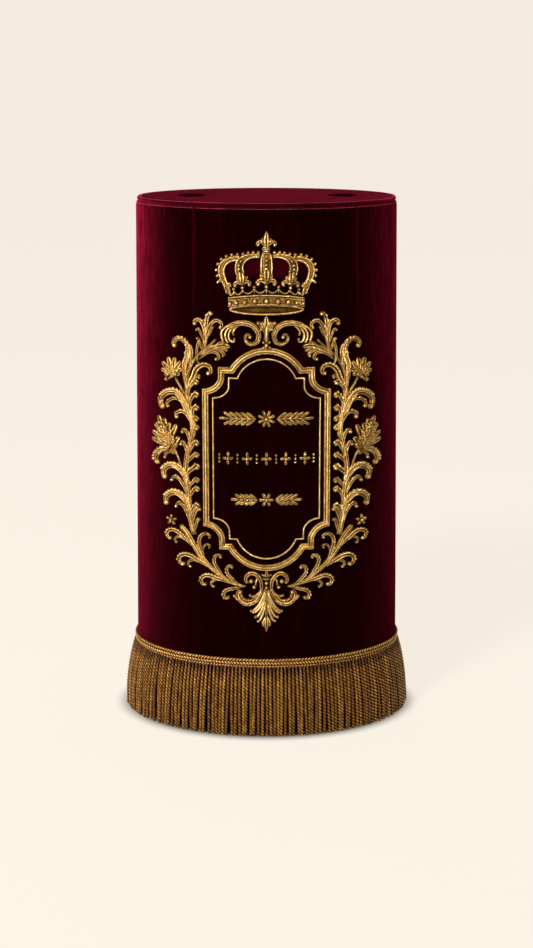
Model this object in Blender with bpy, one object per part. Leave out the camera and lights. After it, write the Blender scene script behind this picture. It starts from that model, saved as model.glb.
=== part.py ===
"""Mantle for a parchment scroll: an oval velvet cover with raised gold embroidery.

The mantle stands on its hem, open at the bottom. Its covered top has two round holes for the
scroll's rollers. Metres, +Z up, the front faces -Y, and the origin is under the middle of the hem.
Every embroidered motif is laid out on the front by x across and z up, and is lifted off the wall.
"""

import math

import bmesh
import bpy
from mathutils import Vector

MM = 0.001
GAP = 0.3 * MM

# The velvet wall: an oval tube that widens towards the hem
HEIGHT = 0.684
TOP_HALF_WIDTH = 0.165
TOP_HALF_DEPTH = 0.099
HEM_HALF_WIDTH = 0.1755
HEM_HALF_DEPTH = 0.117
CLOTH = 2 * MM
WALL_COLUMNS = 60
WALL_BANDS = (0.0, 0.52, 0.55, 0.58, 0.63)

# Pressed creases in the upper front: place across, height of the ridge, where it starts to fade
CREASES = [
    {"x": -88 * MM, "ridge": 0.9 * MM, "foot": 0.520},
    {"x": 110 * MM, "ridge": 0.8 * MM, "foot": 0.522},
]
CREASE_HALF_ANGLE = math.radians(1.7)
CREASE_FADE = 0.060
# An even column nearer to a crease than this many half angles gives way to the close ones
CREASE_ROOM = 1.6

# The rim: a covered cord between the wall and the covered top
PIPING_RADIUS = 2.75 * MM
PIPING_INSET = 1.2 * MM
PIPING_COLUMNS = 60
BOARD = 5 * MM
BOARD_EDGE = 1.2 * MM
BOARD_COLUMNS = 60
HOLE_RADIUS = 19 * MM
HOLE_SPACING = 190 * MM
HOLE_COLUMNS = 24

# The fringe: a corded heading and twisted strands that splay and reach the floor
HEADING_TOP = 0.102
HEADING_FOOT = 0.090
HEADING_THICK = 4 * MM
HEADING_SLOPE = 2.4 * MM
LENGTH_STEPS = 2880
STRANDS = 160
STRAND_SHARE = 0.74
STRAND_THICK = 3.6 * MM
SPLAY = 12.5 * MM
STRAND_STEPS = (0.45, 1.0)
TIP_HEIGHT = 0.8 * MM
TIP_SPREAD = 2.2 * MM
# How soon the splay is reached, and how far a strand strays sideways, outwards and thins at its tip
SPLAY_POWER = 2.4
STRAY_SIDEWAYS = 0.22
STRAY_OUT = 0.6 * MM
TIP_THINS = 0.06

# Raised goldwork
SEW_GAP = 0.4 * MM
STEM_HIGH = 2.4 * MM
FROND_HIGH = 1.9 * MM

VELVET = {"name": "velvet", "color": (0.16, 0.006, 0.03, 1), "roughness": 0.85, "metallic": 0.0}
GOLD = {"name": "gold thread", "color": (0.62, 0.40, 0.12, 1), "roughness": 0.42, "metallic": 0.7}
FRINGE = {"name": "fringe gold", "color": (0.45, 0.26, 0.07, 1), "roughness": 0.55, "metallic": 0.4}

# Cartouche, the outer edge of its border and the middle of its fine line: half width, and for each
# end the height of its arch, of its step and of its shoulder, and the half width of the arch
BORDER_EDGE = {
    "side": 80 * MM,
    "head": {"crown": 0.508, "step": 0.483, "shoulder": 0.4545, "arch": 45 * MM},
    "foot": {"crown": 0.2205, "step": 0.2473, "shoulder": 0.276, "arch": 48 * MM},
}
LINE_MIDDLE = {
    "side": 66.5 * MM,
    "head": {"crown": 0.4935, "step": 0.469, "shoulder": 0.443, "arch": 36 * MM},
    "foot": {"crown": 0.237, "step": 0.262, "shoulder": 0.288, "arch": 37 * MM},
}
HOLLOW = Vector((20 * MM, 16.5 * MM))
BORDER_WIDTH = 8.6 * MM
BORDER_LOW = 1.2 * MM
BORDER_HIGH = 2.6 * MM
LINE_WIDTH = 2.4 * MM
LINE_HIGH = 1.4 * MM
BAND_STEP = 16 * MM
ARCH_CHORDS = 6
HOLLOW_CHORDS = 4

# Lower branch of the wreath, from the foot scroll out to the lowest flower, left side
LOWER_STEM = [(-27, 200), (-42, 203), (-61, 215), (-79, 231), (-91, 248), (-100, 263), (-110, 274)]
# Upper branch, up the side and over to the head scroll
UPPER_STEM = [
    (-92, 264), (-97, 290), (-98, 318), (-101, 343), (-100, 362), (-95, 384), (-92, 402),
    (-96, 430), (-99, 455), (-97, 474), (-87, 493), (-74, 505), (-62, 517),
]
STEM_STEP = 7.5 * MM
STEM_ROOT_WIDTH = 7.0 * MM
STEM_TIP_WIDTH = 2.6 * MM

# Fronds: distance of the root along its stem, length, width, first lean off the stem, whole curl
LOWER_OUTER = [
    {"at": 12, "long": 31, "wide": 5.5, "lean": 14, "curl": 240},
    {"at": 36, "long": 38, "wide": 6.0, "lean": 14, "curl": 240},
    {"at": 66, "long": 44, "wide": 6.5, "lean": 16, "curl": 240},
    {"at": 94, "long": 42, "wide": 6.0, "lean": 16, "curl": 240},
]
LOWER_INNER = [
    {"at": 20, "long": 27, "wide": 5.0, "lean": 18, "curl": 200},
    {"at": 40, "long": 28, "wide": 5.0, "lean": 18, "curl": 200},
    {"at": 70, "long": 38, "wide": 5.0, "lean": 14, "curl": 200},
]
UPPER_OUTER = [
    {"at": 32, "long": 46, "wide": 7.5, "lean": 20, "curl": 240},
    {"at": 64, "long": 48, "wide": 7.5, "lean": 20, "curl": 240},
    {"at": 84, "long": 26, "wide": 3.0, "lean": 18, "curl": 10},
    {"at": 106, "long": 15, "wide": 4.5, "lean": 24, "curl": 90},
    {"at": 138, "long": 29, "wide": 5.0, "lean": 16, "curl": 220},
    {"at": 156, "long": 60, "wide": 7.5, "lean": 22, "curl": 240},
    {"at": 178, "long": 22, "wide": 3.0, "lean": 20, "curl": 8},
    {"at": 222, "long": 54, "wide": 7.5, "lean": 2, "curl": 250},
    {"at": 240, "long": 48, "wide": 8.0, "lean": 24, "curl": -14},
]
UPPER_INNER = [
    {"at": 10, "long": 12, "wide": 4.0, "lean": 12, "curl": 90},
    {"at": 24, "long": 14, "wide": 4.5, "lean": 20, "curl": 110},
    {"at": 44, "long": 13, "wide": 4.5, "lean": 18, "curl": 110},
    {"at": 62, "long": 12, "wide": 4.0, "lean": 12, "curl": 110},
    {"at": 78, "long": 14, "wide": 4.0, "lean": 14, "curl": 140},
    {"at": 94, "long": 17, "wide": 4.5, "lean": 20, "curl": 130},
    {"at": 112, "long": 11, "wide": 4.0, "lean": 12, "curl": 90},
    {"at": 128, "long": 9, "wide": 3.5, "lean": 4, "curl": 70},
    {"at": 150, "long": 12, "wide": 4.0, "lean": 14, "curl": 110},
    {"at": 168, "long": 13, "wide": 4.0, "lean": 14, "curl": 140},
    {"at": 206, "long": 44, "wide": 7.0, "lean": 14, "curl": 240},
    {"at": 242, "long": 34, "wide": 7.0, "lean": 32, "curl": 6},
]
FROND_STEPS = 6
FROND_CLEAR = 0.4 * MM
FROND_NARROWS = 0.45
FROND_SINKS = 0.25
CURL_TIGHTENS = 2.2
STRIP_TOP = 0.55

# Flowers: middle across and up, and radius
FLOWERS = {
    "flower_high": {"x": -119, "z": 476, "radius": 15},
    "flower_wide": {"x": -129, "z": 386, "radius": 18},
    "flower_low": {"x": -121, "z": 279, "radius": 7},
}
PETALS = 9
PETAL_NOTCH = 0.66
PETAL_BROW = 0.55
FLOWER_HOLLOW = 0.5 * MM
FLOWER_BROW = 2.2 * MM
FLOWER_HIGH = 3.0 * MM

# Scrolls beside the head and the foot of the cartouche, left side, each from its eye outwards
HEAD_SCROLL = [(-23, 516), (-19, 511), (-11, 513), (-9, 523), (-14, 532), (-25, 537), (-39, 536),
               (-50, 531), (-57, 523)]
HEAD_LEAF = [{"at": 57, "long": 31, "wide": 6.0, "lean": 34, "curl": 120}]
FOOT_SCROLL = [(-20, 202), (-24, 208), (-19, 215), (-11, 213), (-7, 205), (-8, 196)]
FOOT_SWAG = [(-16, 190), (-20, 181), (-27, 177), (-34, 181), (-38, 190)]
SCROLL_WIDTH = 5.8 * MM

HEAD_PALM = {"foot": (0, 510), "tip": (0, 546), "wide": 6.5}
HEAD_PALM_FRONDS = [
    {"at": 20, "long": 10, "wide": 4.0, "lean": 36, "curl": 60},
]
FOOT_PALM = {"foot": (0, 218), "tip": (0, 139.5), "wide": 8.0}
FOOT_PALM_FRONDS = [
    {"at": 26, "long": 32, "wide": 5.0, "lean": 24, "curl": 24},
    {"at": 42, "long": 22, "wide": 4.5, "lean": 24, "curl": 20},
]

# Crown: a bent band, five arches that meet under a three-petal finial, and three fleurons
CROWN_BAND = {"half": 47 * MM, "top": 0.5735, "top_end": 0.5690, "foot": 0.5485, "foot_end": 0.5570}
BAND_LIFT = 3.0 * MM
ARCHES = {
    "crown_arch_1": {"wide": 8.0, "path": [(-49, 575), (-55, 590), (-55, 604), (-48, 614), (-40, 618)]},
    "crown_arch_2": {"wide": 8.5, "path": [(-30, 575), (-33, 590), (-33, 607), (-26, 618), (-12, 621)]},
    "crown_arch_3": {"wide": 13.0, "path": [(0, 575), (0, 600), (0, 623)]},
    "crown_arch_4": {"wide": 8.5, "path": [(30, 575), (33, 590), (33, 607), (26, 618), (12, 621)]},
    "crown_arch_5": {"wide": 8.0, "path": [(49, 575), (55, 590), (55, 604), (48, 614), (40, 618)]},
}
FLEURON = [{"at": 10, "long": 9, "wide": 4.0, "lean": 34, "curl": 180}]
FINIAL = {"foot": (0, 625), "tip": (0, 650), "wide": 6.5}
FINIAL_FRONDS = [{"at": 8, "long": 11, "wide": 4.5, "lean": 48, "curl": 150}]
SPLINE_STEPS = 16
MOTIF_STEP = 4.5 * MM
ARCH_STEP = 7 * MM
BAND_COLUMNS = 12


def half_axes(z):
    """Half width and half depth of the wall's outer face at height z."""
    share = z / HEIGHT
    width = HEM_HALF_WIDTH + (TOP_HALF_WIDTH - HEM_HALF_WIDTH) * share
    depth = HEM_HALF_DEPTH + (TOP_HALF_DEPTH - HEM_HALF_DEPTH) * share
    return width, depth


def around(angle, z, out=0.0):
    """A point `out` metres off the wall; angle 0 is the middle of the front and grows to +X."""
    width, depth = half_axes(z)
    sine, cosine = math.sin(angle), math.cos(angle)
    normal = Vector((sine / width, -cosine / depth, 0)).normalized()
    return Vector((width * sine, -depth * cosine, z)) + normal * out


def on_front(x, z, lift=0.0):
    """A point over the wall's front, x across and z up, lifted off the cloth by SEW_GAP and more."""
    return around(math.asin(x / half_axes(z)[0]), z, SEW_GAP + lift)


def smooth(share):
    """0 to 1 with level ends."""
    share = min(1.0, max(0.0, share))
    return share * share * (3 - 2 * share)


def material(look):
    """The Principled material of one finish, made once."""
    made = bpy.data.materials.get(look["name"])
    if made is None:
        made = bpy.data.materials.new(look["name"])
        made.use_nodes = True
        shader = made.node_tree.nodes["Principled BSDF"]
        shader.inputs["Base Color"].default_value = look["color"]
        shader.inputs["Roughness"].default_value = look["roughness"]
        shader.inputs["Metallic"].default_value = look["metallic"]
    return made


class Skin:
    """Rings of points joined into one closed mesh."""

    def __init__(self):
        self.points = []
        self.faces = []

    def ring(self, points):
        """Adds the points and returns their numbers."""
        first = len(self.points)
        self.points.extend(points)
        return list(range(first, len(self.points)))

    def bridge(self, ring, following, skipped=()):
        """Joins two rings with a band of quads, leaving out the sides in `skipped`."""
        count = len(ring)
        for k in range(count):
            if k not in skipped:
                after = (k + 1) % count
                self.faces.append((ring[k], ring[after], following[after], following[k]))

    def cap(self, ring):
        """Closes a ring with one face."""
        self.faces.append(tuple(ring))

    def build(self, name, look, flat=False):
        """Makes the object, with its faces turned outwards."""
        mesh = bpy.data.meshes.new(name)
        mesh.from_pydata([tuple(p) for p in self.points], [], self.faces)
        shell = bmesh.new()
        shell.from_mesh(mesh)
        bmesh.ops.recalc_face_normals(shell, faces=shell.faces)
        shell.to_mesh(mesh)
        shell.free()
        if not flat:
            mesh.shade_smooth()
            mesh.set_sharp_from_angle(angle=math.radians(40))
        mesh.materials.append(material(look))
        bpy.context.scene.collection.objects.link(bpy.data.objects.new(name, mesh))


def wall_angles():
    """Even steps round the oval, with three close columns at each crease in place of near ones."""
    top_width = half_axes(HEIGHT)[0]
    middles = [math.asin(crease["x"] / top_width) for crease in CREASES]
    even = [-math.pi + 2 * math.pi * k / WALL_COLUMNS for k in range(WALL_COLUMNS)]
    kept = [a for a in even if all(abs(a - m) > CREASE_ROOM * CREASE_HALF_ANGLE for m in middles)]
    close = [m + side * CREASE_HALF_ANGLE for m in middles for side in (-1, 0, 1)]
    return sorted(kept + close), middles


def build_wall():
    """The velvet tube: an outer and an inner face, joined at the hem and at the top edge."""
    angles, middles = wall_angles()
    top = HEIGHT - 2 * PIPING_RADIUS - GAP
    rows = list(WALL_BANDS) + [top]
    skin = Skin()
    outer, inner = [], []
    for z in rows:
        outside, inside = [], []
        for angle in angles:
            ridge = 0.0
            for crease, middle in zip(CREASES, middles):
                if abs(angle - middle) < 1e-6:
                    ridge = crease["ridge"] * smooth((z - crease["foot"]) / CREASE_FADE)
            outside.append(around(angle, z, ridge))
            inside.append(around(angle, z, ridge - CLOTH))
        outer.append(skin.ring(outside))
        inner.append(skin.ring(inside))
    for low, high in zip(outer, outer[1:]):
        skin.bridge(low, high)
    for low, high in zip(inner, inner[1:]):
        skin.bridge(high, low)
    skin.bridge(inner[0], outer[0])
    skin.bridge(outer[-1], inner[-1])
    skin.build("wall", VELVET)


def closed_spline(curve, points):
    """Adds one closed run of straight segments to a curve."""
    spline = curve.splines.new("POLY")
    spline.points.add(len(points) - 1)
    for slot, (x, y) in zip(spline.points, points):
        slot.co = (x, y, 0, 1)
    spline.use_cyclic_u = True


def oval(half_width, half_depth, count, middle=0.0):
    """Points round an ellipse whose middle lies at x = middle."""
    turns = [2 * math.pi * k / count for k in range(count)]
    return [(middle + half_width * math.cos(t), half_depth * math.sin(t)) for t in turns]


def build_piping():
    """The velvet-covered cord that edges the top."""
    curve = bpy.data.curves.new("top_piping", "CURVE")
    curve.dimensions = "3D"
    curve.bevel_depth = PIPING_RADIUS
    curve.bevel_resolution = 1
    ring = oval(TOP_HALF_WIDTH - PIPING_INSET, TOP_HALF_DEPTH - PIPING_INSET, PIPING_COLUMNS)
    closed_spline(curve, ring)
    curve.materials.append(material(VELVET))
    made = bpy.data.objects.new("top_piping", curve)
    made.location.z = HEIGHT - PIPING_RADIUS
    bpy.context.scene.collection.objects.link(made)


def build_top():
    """The covered board inside the piping, with its two roller holes and softened edges."""
    curve = bpy.data.curves.new("top_panel", "CURVE")
    curve.dimensions = "2D"
    curve.fill_mode = "BOTH"
    curve.extrude = BOARD / 2 - BOARD_EDGE
    curve.bevel_depth = BOARD_EDGE
    curve.bevel_resolution = 0
    curve.offset = -BOARD_EDGE
    inset = PIPING_INSET + PIPING_RADIUS + GAP
    closed_spline(curve, oval(TOP_HALF_WIDTH - inset, TOP_HALF_DEPTH - inset, BOARD_COLUMNS))
    for side in (-1, 1):
        middle = side * HOLE_SPACING / 2
        closed_spline(curve, oval(HOLE_RADIUS, HOLE_RADIUS, HOLE_COLUMNS, middle))
    curve.materials.append(material(VELVET))
    made = bpy.data.objects.new("top_panel", curve)
    made.location.z = HEIGHT - BOARD / 2
    bpy.context.scene.collection.objects.link(made)


def even_angles(z, count):
    """Angles round the wall that are equal steps of length apart at height z."""
    fine = LENGTH_STEPS
    width, depth = half_axes(z)
    lengths = [0.0]
    for k in range(fine):
        turn = 2 * math.pi * (k + 0.5) / fine
        lengths.append(lengths[-1] + math.hypot(width * math.cos(turn), depth * math.sin(turn)))
    angles, k = [], 0
    for step in range(count):
        wanted = lengths[-1] * step / count
        while lengths[k + 1] < wanted:
            k += 1
        part = (wanted - lengths[k]) / (lengths[k + 1] - lengths[k])
        angles.append(2 * math.pi * (k + part) / fine)
    return angles


def strand_wander(number, kind):
    """An irregular value from -1 to 1 for one strand: two sine waves out of step with each other."""
    slow, fast = math.sin(number * 2.4 + kind), math.sin(number * 5.1 + 2 * kind)
    return 0.6 * slow + 0.4 * fast


def build_fringe():
    """The heading ring, with every strand drawn down out of its under face."""
    whole = even_angles(HEADING_FOOT, STRANDS)
    step = whole[1:] + [2 * math.pi]
    angles, is_strand = [], []
    for start, end in zip(whole, step):
        angles += [start, start + (end - start) * STRAND_SHARE]
        is_strand += [True, False]
    profile = [
        (GAP, HEADING_FOOT),
        (GAP + STRAND_THICK, HEADING_FOOT),
        (HEADING_THICK, HEADING_TOP - HEADING_SLOPE),
        (HEADING_THICK / 2, HEADING_TOP),
        (GAP, HEADING_TOP - HEADING_SLOPE / 4),
    ]
    skin = Skin()
    rings = [skin.ring([around(a, z, out) for out, z in profile]) for a in angles]
    for k, ring in enumerate(rings):
        following = rings[(k + 1) % len(rings)]
        skin.bridge(ring, following, skipped=(0,) if is_strand[k] else ())
        if not is_strand[k]:
            continue
        number = k // 2
        start, end = angles[k], angles[k + 1]
        width = end - start
        sway = strand_wander(number, 1) * STRAY_SIDEWAYS * width
        tip = TIP_HEIGHT + TIP_SPREAD * abs(strand_wander(number, 2))
        last = [ring[0], ring[1], following[1], following[0]]
        for share in STRAND_STEPS:
            z = HEADING_FOOT + (tip - HEADING_FOOT) * share
            out = GAP + SPLAY * (1 - (1 - share) ** SPLAY_POWER)
            out += STRAY_OUT * strand_wander(number, 3) * share
            left, right = start + sway * share, end + sway * share
            slim = TIP_THINS * width * share
            corners = [(left + slim, out), (left + slim, out + STRAND_THICK),
                       (right - slim, out + STRAND_THICK), (right - slim, out)]
            new = skin.ring([around(a, z, o) for a, o in corners])
            skin.bridge(last, new)
            last = new
        skin.cap(last)
    skin.build("fringe", FRINGE, flat=True)


def smooth_path(points, step):
    """A Catmull-Rom curve through the points, resampled to even steps of about `step` metres."""
    ends = [2 * points[0] - points[1]] + points + [2 * points[-1] - points[-2]]
    fine = []
    for k in range(1, len(ends) - 2):
        before, start, end, after = ends[k - 1], ends[k], ends[k + 1], ends[k + 2]
        for part in range(SPLINE_STEPS):
            t = part / SPLINE_STEPS
            fine.append(
                0.5 * (2 * start + (end - before) * t
                       + (2 * before - 5 * start + 4 * end - after) * t * t
                       + (3 * start - before - 3 * end + after) * t * t * t)
            )
    fine.append(points[-1])
    lengths = [0.0]
    for a, b in zip(fine, fine[1:]):
        lengths.append(lengths[-1] + (b - a).length)
    count = max(2, round(lengths[-1] / step))
    even, k = [], 0
    for number in range(count + 1):
        wanted = lengths[-1] * number / count
        while k < len(fine) - 2 and lengths[k + 1] < wanted:
            k += 1
        span = lengths[k + 1] - lengths[k]
        even.append(fine[k].lerp(fine[k + 1], (wanted - lengths[k]) / span))
    return even, lengths[-1]


def flat_points(table, mirrored=False):
    """Millimetre pairs across and up as 2D vectors in metres, mirrored to the right side if asked."""
    side = -1 if mirrored else 1
    return [Vector((side * x * MM, z * MM)) for x, z in table]


def directions(path):
    """The unit direction of travel at each point of an open path."""
    befores = path[:1] + path[:-1]
    afters = path[1:] + path[-1:]
    return [(after - before).normalized() for before, after in zip(befores, afters)]


def left_of(direction):
    """The unit direction a quarter turn to the left in the plane of the front."""
    return Vector((-direction.y, direction.x))


def strip_ring(middle, across, half_width, high):
    """Four corners of a stem or frond: base and top on one side, top and base on the other."""
    corners = [(1.0, 0.0), (STRIP_TOP, high), (-STRIP_TOP, high), (-1.0, 0.0)]
    found = []
    for side, lift in corners:
        flat = middle + across * (half_width * side)
        found.append(on_front(flat.x, flat.y, lift))
    return found


def turned(direction, degrees):
    """A flat direction turned to the left by some degrees."""
    angle = math.atan2(direction.y, direction.x) + math.radians(degrees)
    return Vector((math.cos(angle), math.sin(angle)))


def grow_frond(skin, root, start, travel, row, side):
    """Draws a frond out of a stem's side face, along a curl that tightens towards its tip.

    Its rings run from the edge next to the stem to the outer edge, as the root's face does.
    """
    stride = row["long"] * MM / FROND_STEPS
    place, last = start, root
    for step in range(1, FROND_STEPS + 1):
        share = step / FROND_STEPS
        between = (step - 0.5) / FROND_STEPS
        place = place + turned(travel, side * (row["lean"] + row["curl"] * between ** CURL_TIGHTENS)) * stride
        heading = turned(travel, side * (row["lean"] + row["curl"] * share ** CURL_TIGHTENS))
        half = row["wide"] * MM / 2 * (1 - FROND_NARROWS * share)
        high = FROND_HIGH * (1 - FROND_SINKS * share)
        new = skin.ring(strip_ring(place, left_of(heading) * -side, half, high))
        skin.bridge(last, new)
        last = new
    skin.cap(last)


def build_branch(name, path, length, widths, fronds):
    """A raised gold stem along a path, with fronds drawn out of its sides.

    `fronds` maps +1, the left of travel, and -1, the right, to rows of frond sizes.
    """
    travel = directions(path)
    skin = Skin()
    rings = []
    for k, place in enumerate(path):
        share = k / (len(path) - 1)
        half = (widths[0] + (widths[1] - widths[0]) * share) / 2
        rings.append(skin.ring(strip_ring(place, left_of(travel[k]), half, STEM_HIGH)))
    segment = length / (len(path) - 1)
    taken = {+1: {}, -1: {}}
    for side, rows in fronds.items():
        for row in rows:
            number = min(len(path) - 2, int(row["at"] * MM / segment))
            while number in taken[side]:
                number += 1
            taken[side][number] = row
    for k in range(len(path) - 1):
        skipped = [0] if k in taken[+1] else []
        skipped += [2] if k in taken[-1] else []
        skin.bridge(rings[k], rings[k + 1], skipped)
        for side, near in ((+1, (0, 1)), (-1, (3, 2))):
            row = taken[side].get(k)
            if row is None:
                continue
            base, top = near
            root = [rings[k + 1][base], rings[k + 1][top], rings[k][top], rings[k][base]]
            outwards = left_of(travel[k]) * side
            clear = (widths[0] + row["wide"] * MM) / 2 + FROND_CLEAR
            start = (path[k] + path[k + 1]) / 2 + outwards * clear
            grow_frond(skin, root, start, travel[k], row, side)
    skin.cap(rings[0])
    skin.cap(rings[-1])
    skin.build(name, GOLD)


def mitred(path):
    """For a closed path, the sideways direction at each point, lengthened at sharp corners."""
    found = []
    for k, place in enumerate(path):
        into = (place - path[k - 1]).normalized()
        out = (path[(k + 1) % len(path)] - place).normalized()
        across = (left_of(into) + left_of(out)).normalized()
        found.append(across / across.dot(left_of(out)))
    return found


def arc(middle, radii, start, end, count):
    """Points of an arc with radii across and up, ends included; angles in degrees."""
    turns = [math.radians(start + (end - start) * k / count) for k in range(count + 1)]
    return [middle + Vector((radii.x * math.cos(t), radii.y * math.sin(t))) for t in turns]


def cartouche_end(side, sizes, upward):
    """Half of the stepped outline at one end, from its middle out to the straight side, at +X."""
    rise = abs(sizes["crown"] - sizes["step"])
    radius = (sizes["arch"] ** 2 + rise ** 2) / (2 * rise)
    middle = Vector((0, sizes["crown"] - upward * radius))
    swing = math.degrees(math.asin(sizes["arch"] / radius))
    points = arc(middle, Vector((radius, radius)), upward * 90, upward * (90 - swing), ARCH_CHORDS)
    points.append(Vector((side - HOLLOW.x, sizes["step"])))
    hollow = Vector((side, sizes["shoulder"] + upward * HOLLOW.y))
    return points + arc(hollow, HOLLOW, 180, 180 + upward * 90, HOLLOW_CHORDS)


def cartouche(sizes):
    """The closed outline of the cartouche, anticlockwise as seen from the front."""
    foot = cartouche_end(sizes["side"], sizes["foot"], -1)
    head = cartouche_end(sizes["side"], sizes["head"], +1)
    right = foot + head[::-1]
    left = [Vector((-p.x, p.y)) for p in right[::-1]]
    return right + left[1:-1]


def spaced(outline, longest):
    """The closed outline with its long straight runs split, so that it can bend round the wall."""
    found = []
    for k, start in enumerate(outline):
        end = outline[(k + 1) % len(outline)]
        parts = max(1, math.ceil(abs(end.x - start.x) / longest))
        found += [start.lerp(end, part / parts) for part in range(parts)]
    return found


def build_loop(name, outline, section):
    """A raised band along a closed outline; `section` lists the inset and the lift, outer first."""
    skin = Skin()
    rings = []
    for place, across in zip(outline, mitred(outline)):
        flats = [(place + across * inset, lift) for inset, lift in section]
        rings.append(skin.ring([on_front(flat.x, flat.y, lift) for flat, lift in flats]))
    for k, ring in enumerate(rings):
        skin.bridge(ring, rings[(k + 1) % len(rings)])
    skin.build(name, GOLD)


def build_cartouche():
    """The three-ridged border and the fine line inside it."""
    flank, edge, low = BORDER_WIDTH * 0.30, BORDER_WIDTH * 0.12, BORDER_LOW
    border = [
        (0.0, 0.0), (edge, low), (flank, low), (BORDER_WIDTH / 2, BORDER_HIGH),
        (BORDER_WIDTH - flank, low), (BORDER_WIDTH - edge, low), (BORDER_WIDTH, 0.0),
    ]
    build_loop("cartouche_border", spaced(cartouche(BORDER_EDGE), BAND_STEP), border)
    line = [(-LINE_WIDTH / 2, 0.0), (0.0, LINE_HIGH), (LINE_WIDTH / 2, 0.0)]
    build_loop("cartouche_line", spaced(cartouche(LINE_MIDDLE), BAND_STEP), line)


def build_flower(name, middle, radius):
    """A domed flower head with pointed petals, its back hollowed a little to follow the wall."""
    skin = Skin()
    count = 2 * PETALS
    foot, brow = [], []
    for k in range(count):
        turn = math.pi * k / PETALS
        reach = radius if k % 2 == 0 else radius * PETAL_NOTCH
        spoke = Vector((math.cos(turn), math.sin(turn)))
        low, high = middle + spoke * reach, middle + spoke * (reach * PETAL_BROW)
        foot.append(on_front(low.x, low.y, 0.0))
        brow.append(on_front(high.x, high.y, FLOWER_BROW))
    low_ring, high_ring = skin.ring(foot), skin.ring(brow)
    skin.bridge(low_ring, high_ring)
    for ring, lift in ((low_ring, FLOWER_HOLLOW), (high_ring, FLOWER_HIGH)):
        hub = skin.ring([on_front(middle.x, middle.y, lift)])[0]
        for k in range(count):
            skin.faces.append((ring[k], ring[(k + 1) % count], hub))
    skin.build(name, GOLD)


def build_wreath():
    """Both sides of the wreath: a lower and an upper branch, three flowers and two scrolls."""
    for word, mirrored in (("left", False), ("right", True)):
        turn = -1 if mirrored else 1
        lower, length = smooth_path(flat_points(LOWER_STEM, mirrored), STEM_STEP)
        # the lower stem runs outwards, so its outer fronds are on the left of travel at the left side
        build_branch(f"wreath_{word}_lower", lower, length, (4.5 * MM, STEM_ROOT_WIDTH),
                     {turn: LOWER_OUTER, -turn: LOWER_INNER})
        upper, length = smooth_path(flat_points(UPPER_STEM, mirrored), STEM_STEP)
        build_branch(f"wreath_{word}_upper", upper, length, (STEM_ROOT_WIDTH, STEM_TIP_WIDTH),
                     {turn: UPPER_OUTER, -turn: UPPER_INNER})
        for name, row in FLOWERS.items():
            middle = flat_points([(row["x"], row["z"])], mirrored)[0]
            build_flower(f"{name}_{word}", middle, row["radius"] * MM)
        scrolls = (("head_scroll", HEAD_SCROLL, {turn: HEAD_LEAF}), ("foot_scroll", FOOT_SCROLL, {}),
                   ("foot_swag", FOOT_SWAG, {}))
        for name, table, leaves in scrolls:
            path, length = smooth_path(flat_points(table, mirrored), MOTIF_STEP)
            build_branch(f"{name}_{word}", path, length, (SCROLL_WIDTH, SCROLL_WIDTH * 0.8), leaves)


def build_palm(name, sizes, rows):
    """An upright motif: a tapering stem with the same fronds on both sides."""
    ends = flat_points([sizes["foot"], sizes["tip"]])
    path, length = smooth_path(ends, MOTIF_STEP)
    width = sizes["wide"] * MM
    build_branch(name, path, length, (width, width * 0.4), {+1: rows, -1: rows})


def build_crown():
    """The crown: a band that deepens towards its middle, its arches with fleurons and the finial."""
    half = CROWN_BAND["half"]
    skin = Skin()
    rings = []
    for k in range(BAND_COLUMNS + 1):
        share = 2 * k / BAND_COLUMNS - 1
        top = CROWN_BAND["top"] + (CROWN_BAND["top_end"] - CROWN_BAND["top"]) * share ** 2
        foot = CROWN_BAND["foot"] + (CROWN_BAND["foot_end"] - CROWN_BAND["foot"]) * share ** 2
        section = [(foot, 0.0), (foot, BAND_LIFT * 0.7), ((foot + top) / 2, BAND_LIFT),
                   (top, BAND_LIFT * 0.7), (top, 0.0)]
        rings.append(skin.ring([on_front(half * share, z, lift) for z, lift in section]))
    for ring, following in zip(rings, rings[1:]):
        skin.bridge(ring, following)
    skin.cap(rings[0])
    skin.cap(rings[-1])
    skin.build("crown_band", GOLD)
    for name, sizes in ARCHES.items():
        path, length = smooth_path(flat_points(sizes["path"]), ARCH_STEP)
        width = sizes["wide"] * MM
        fronds = {} if abs(sizes["path"][0][0]) > 40 else {+1: FLEURON, -1: FLEURON}
        build_branch(name, path, length, (width, width), fronds)
    build_palm("crown_finial", FINIAL, FINIAL_FRONDS)


def main():
    """Clears the scene and builds every piece."""
    for old in list(bpy.data.objects):
        bpy.data.objects.remove(old)
    build_wall()
    build_piping()
    build_top()
    build_fringe()
    build_cartouche()
    build_wreath()
    build_palm("head_palmette", HEAD_PALM, HEAD_PALM_FRONDS)
    build_palm("foot_palmette", FOOT_PALM, FOOT_PALM_FRONDS)
    build_crown()


main()
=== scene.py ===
"""The finished mantle: velvet, padded gold embroidery, covered rim and twisted fringe.

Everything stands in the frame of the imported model: metres, +Z up, the embroidered front faces -Y.
The embroidery is laid out in millimetres on the front, x across and z up, and wrapped round the wall.
"""

import logging
import math
from dataclasses import dataclass
from enum import Enum

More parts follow.
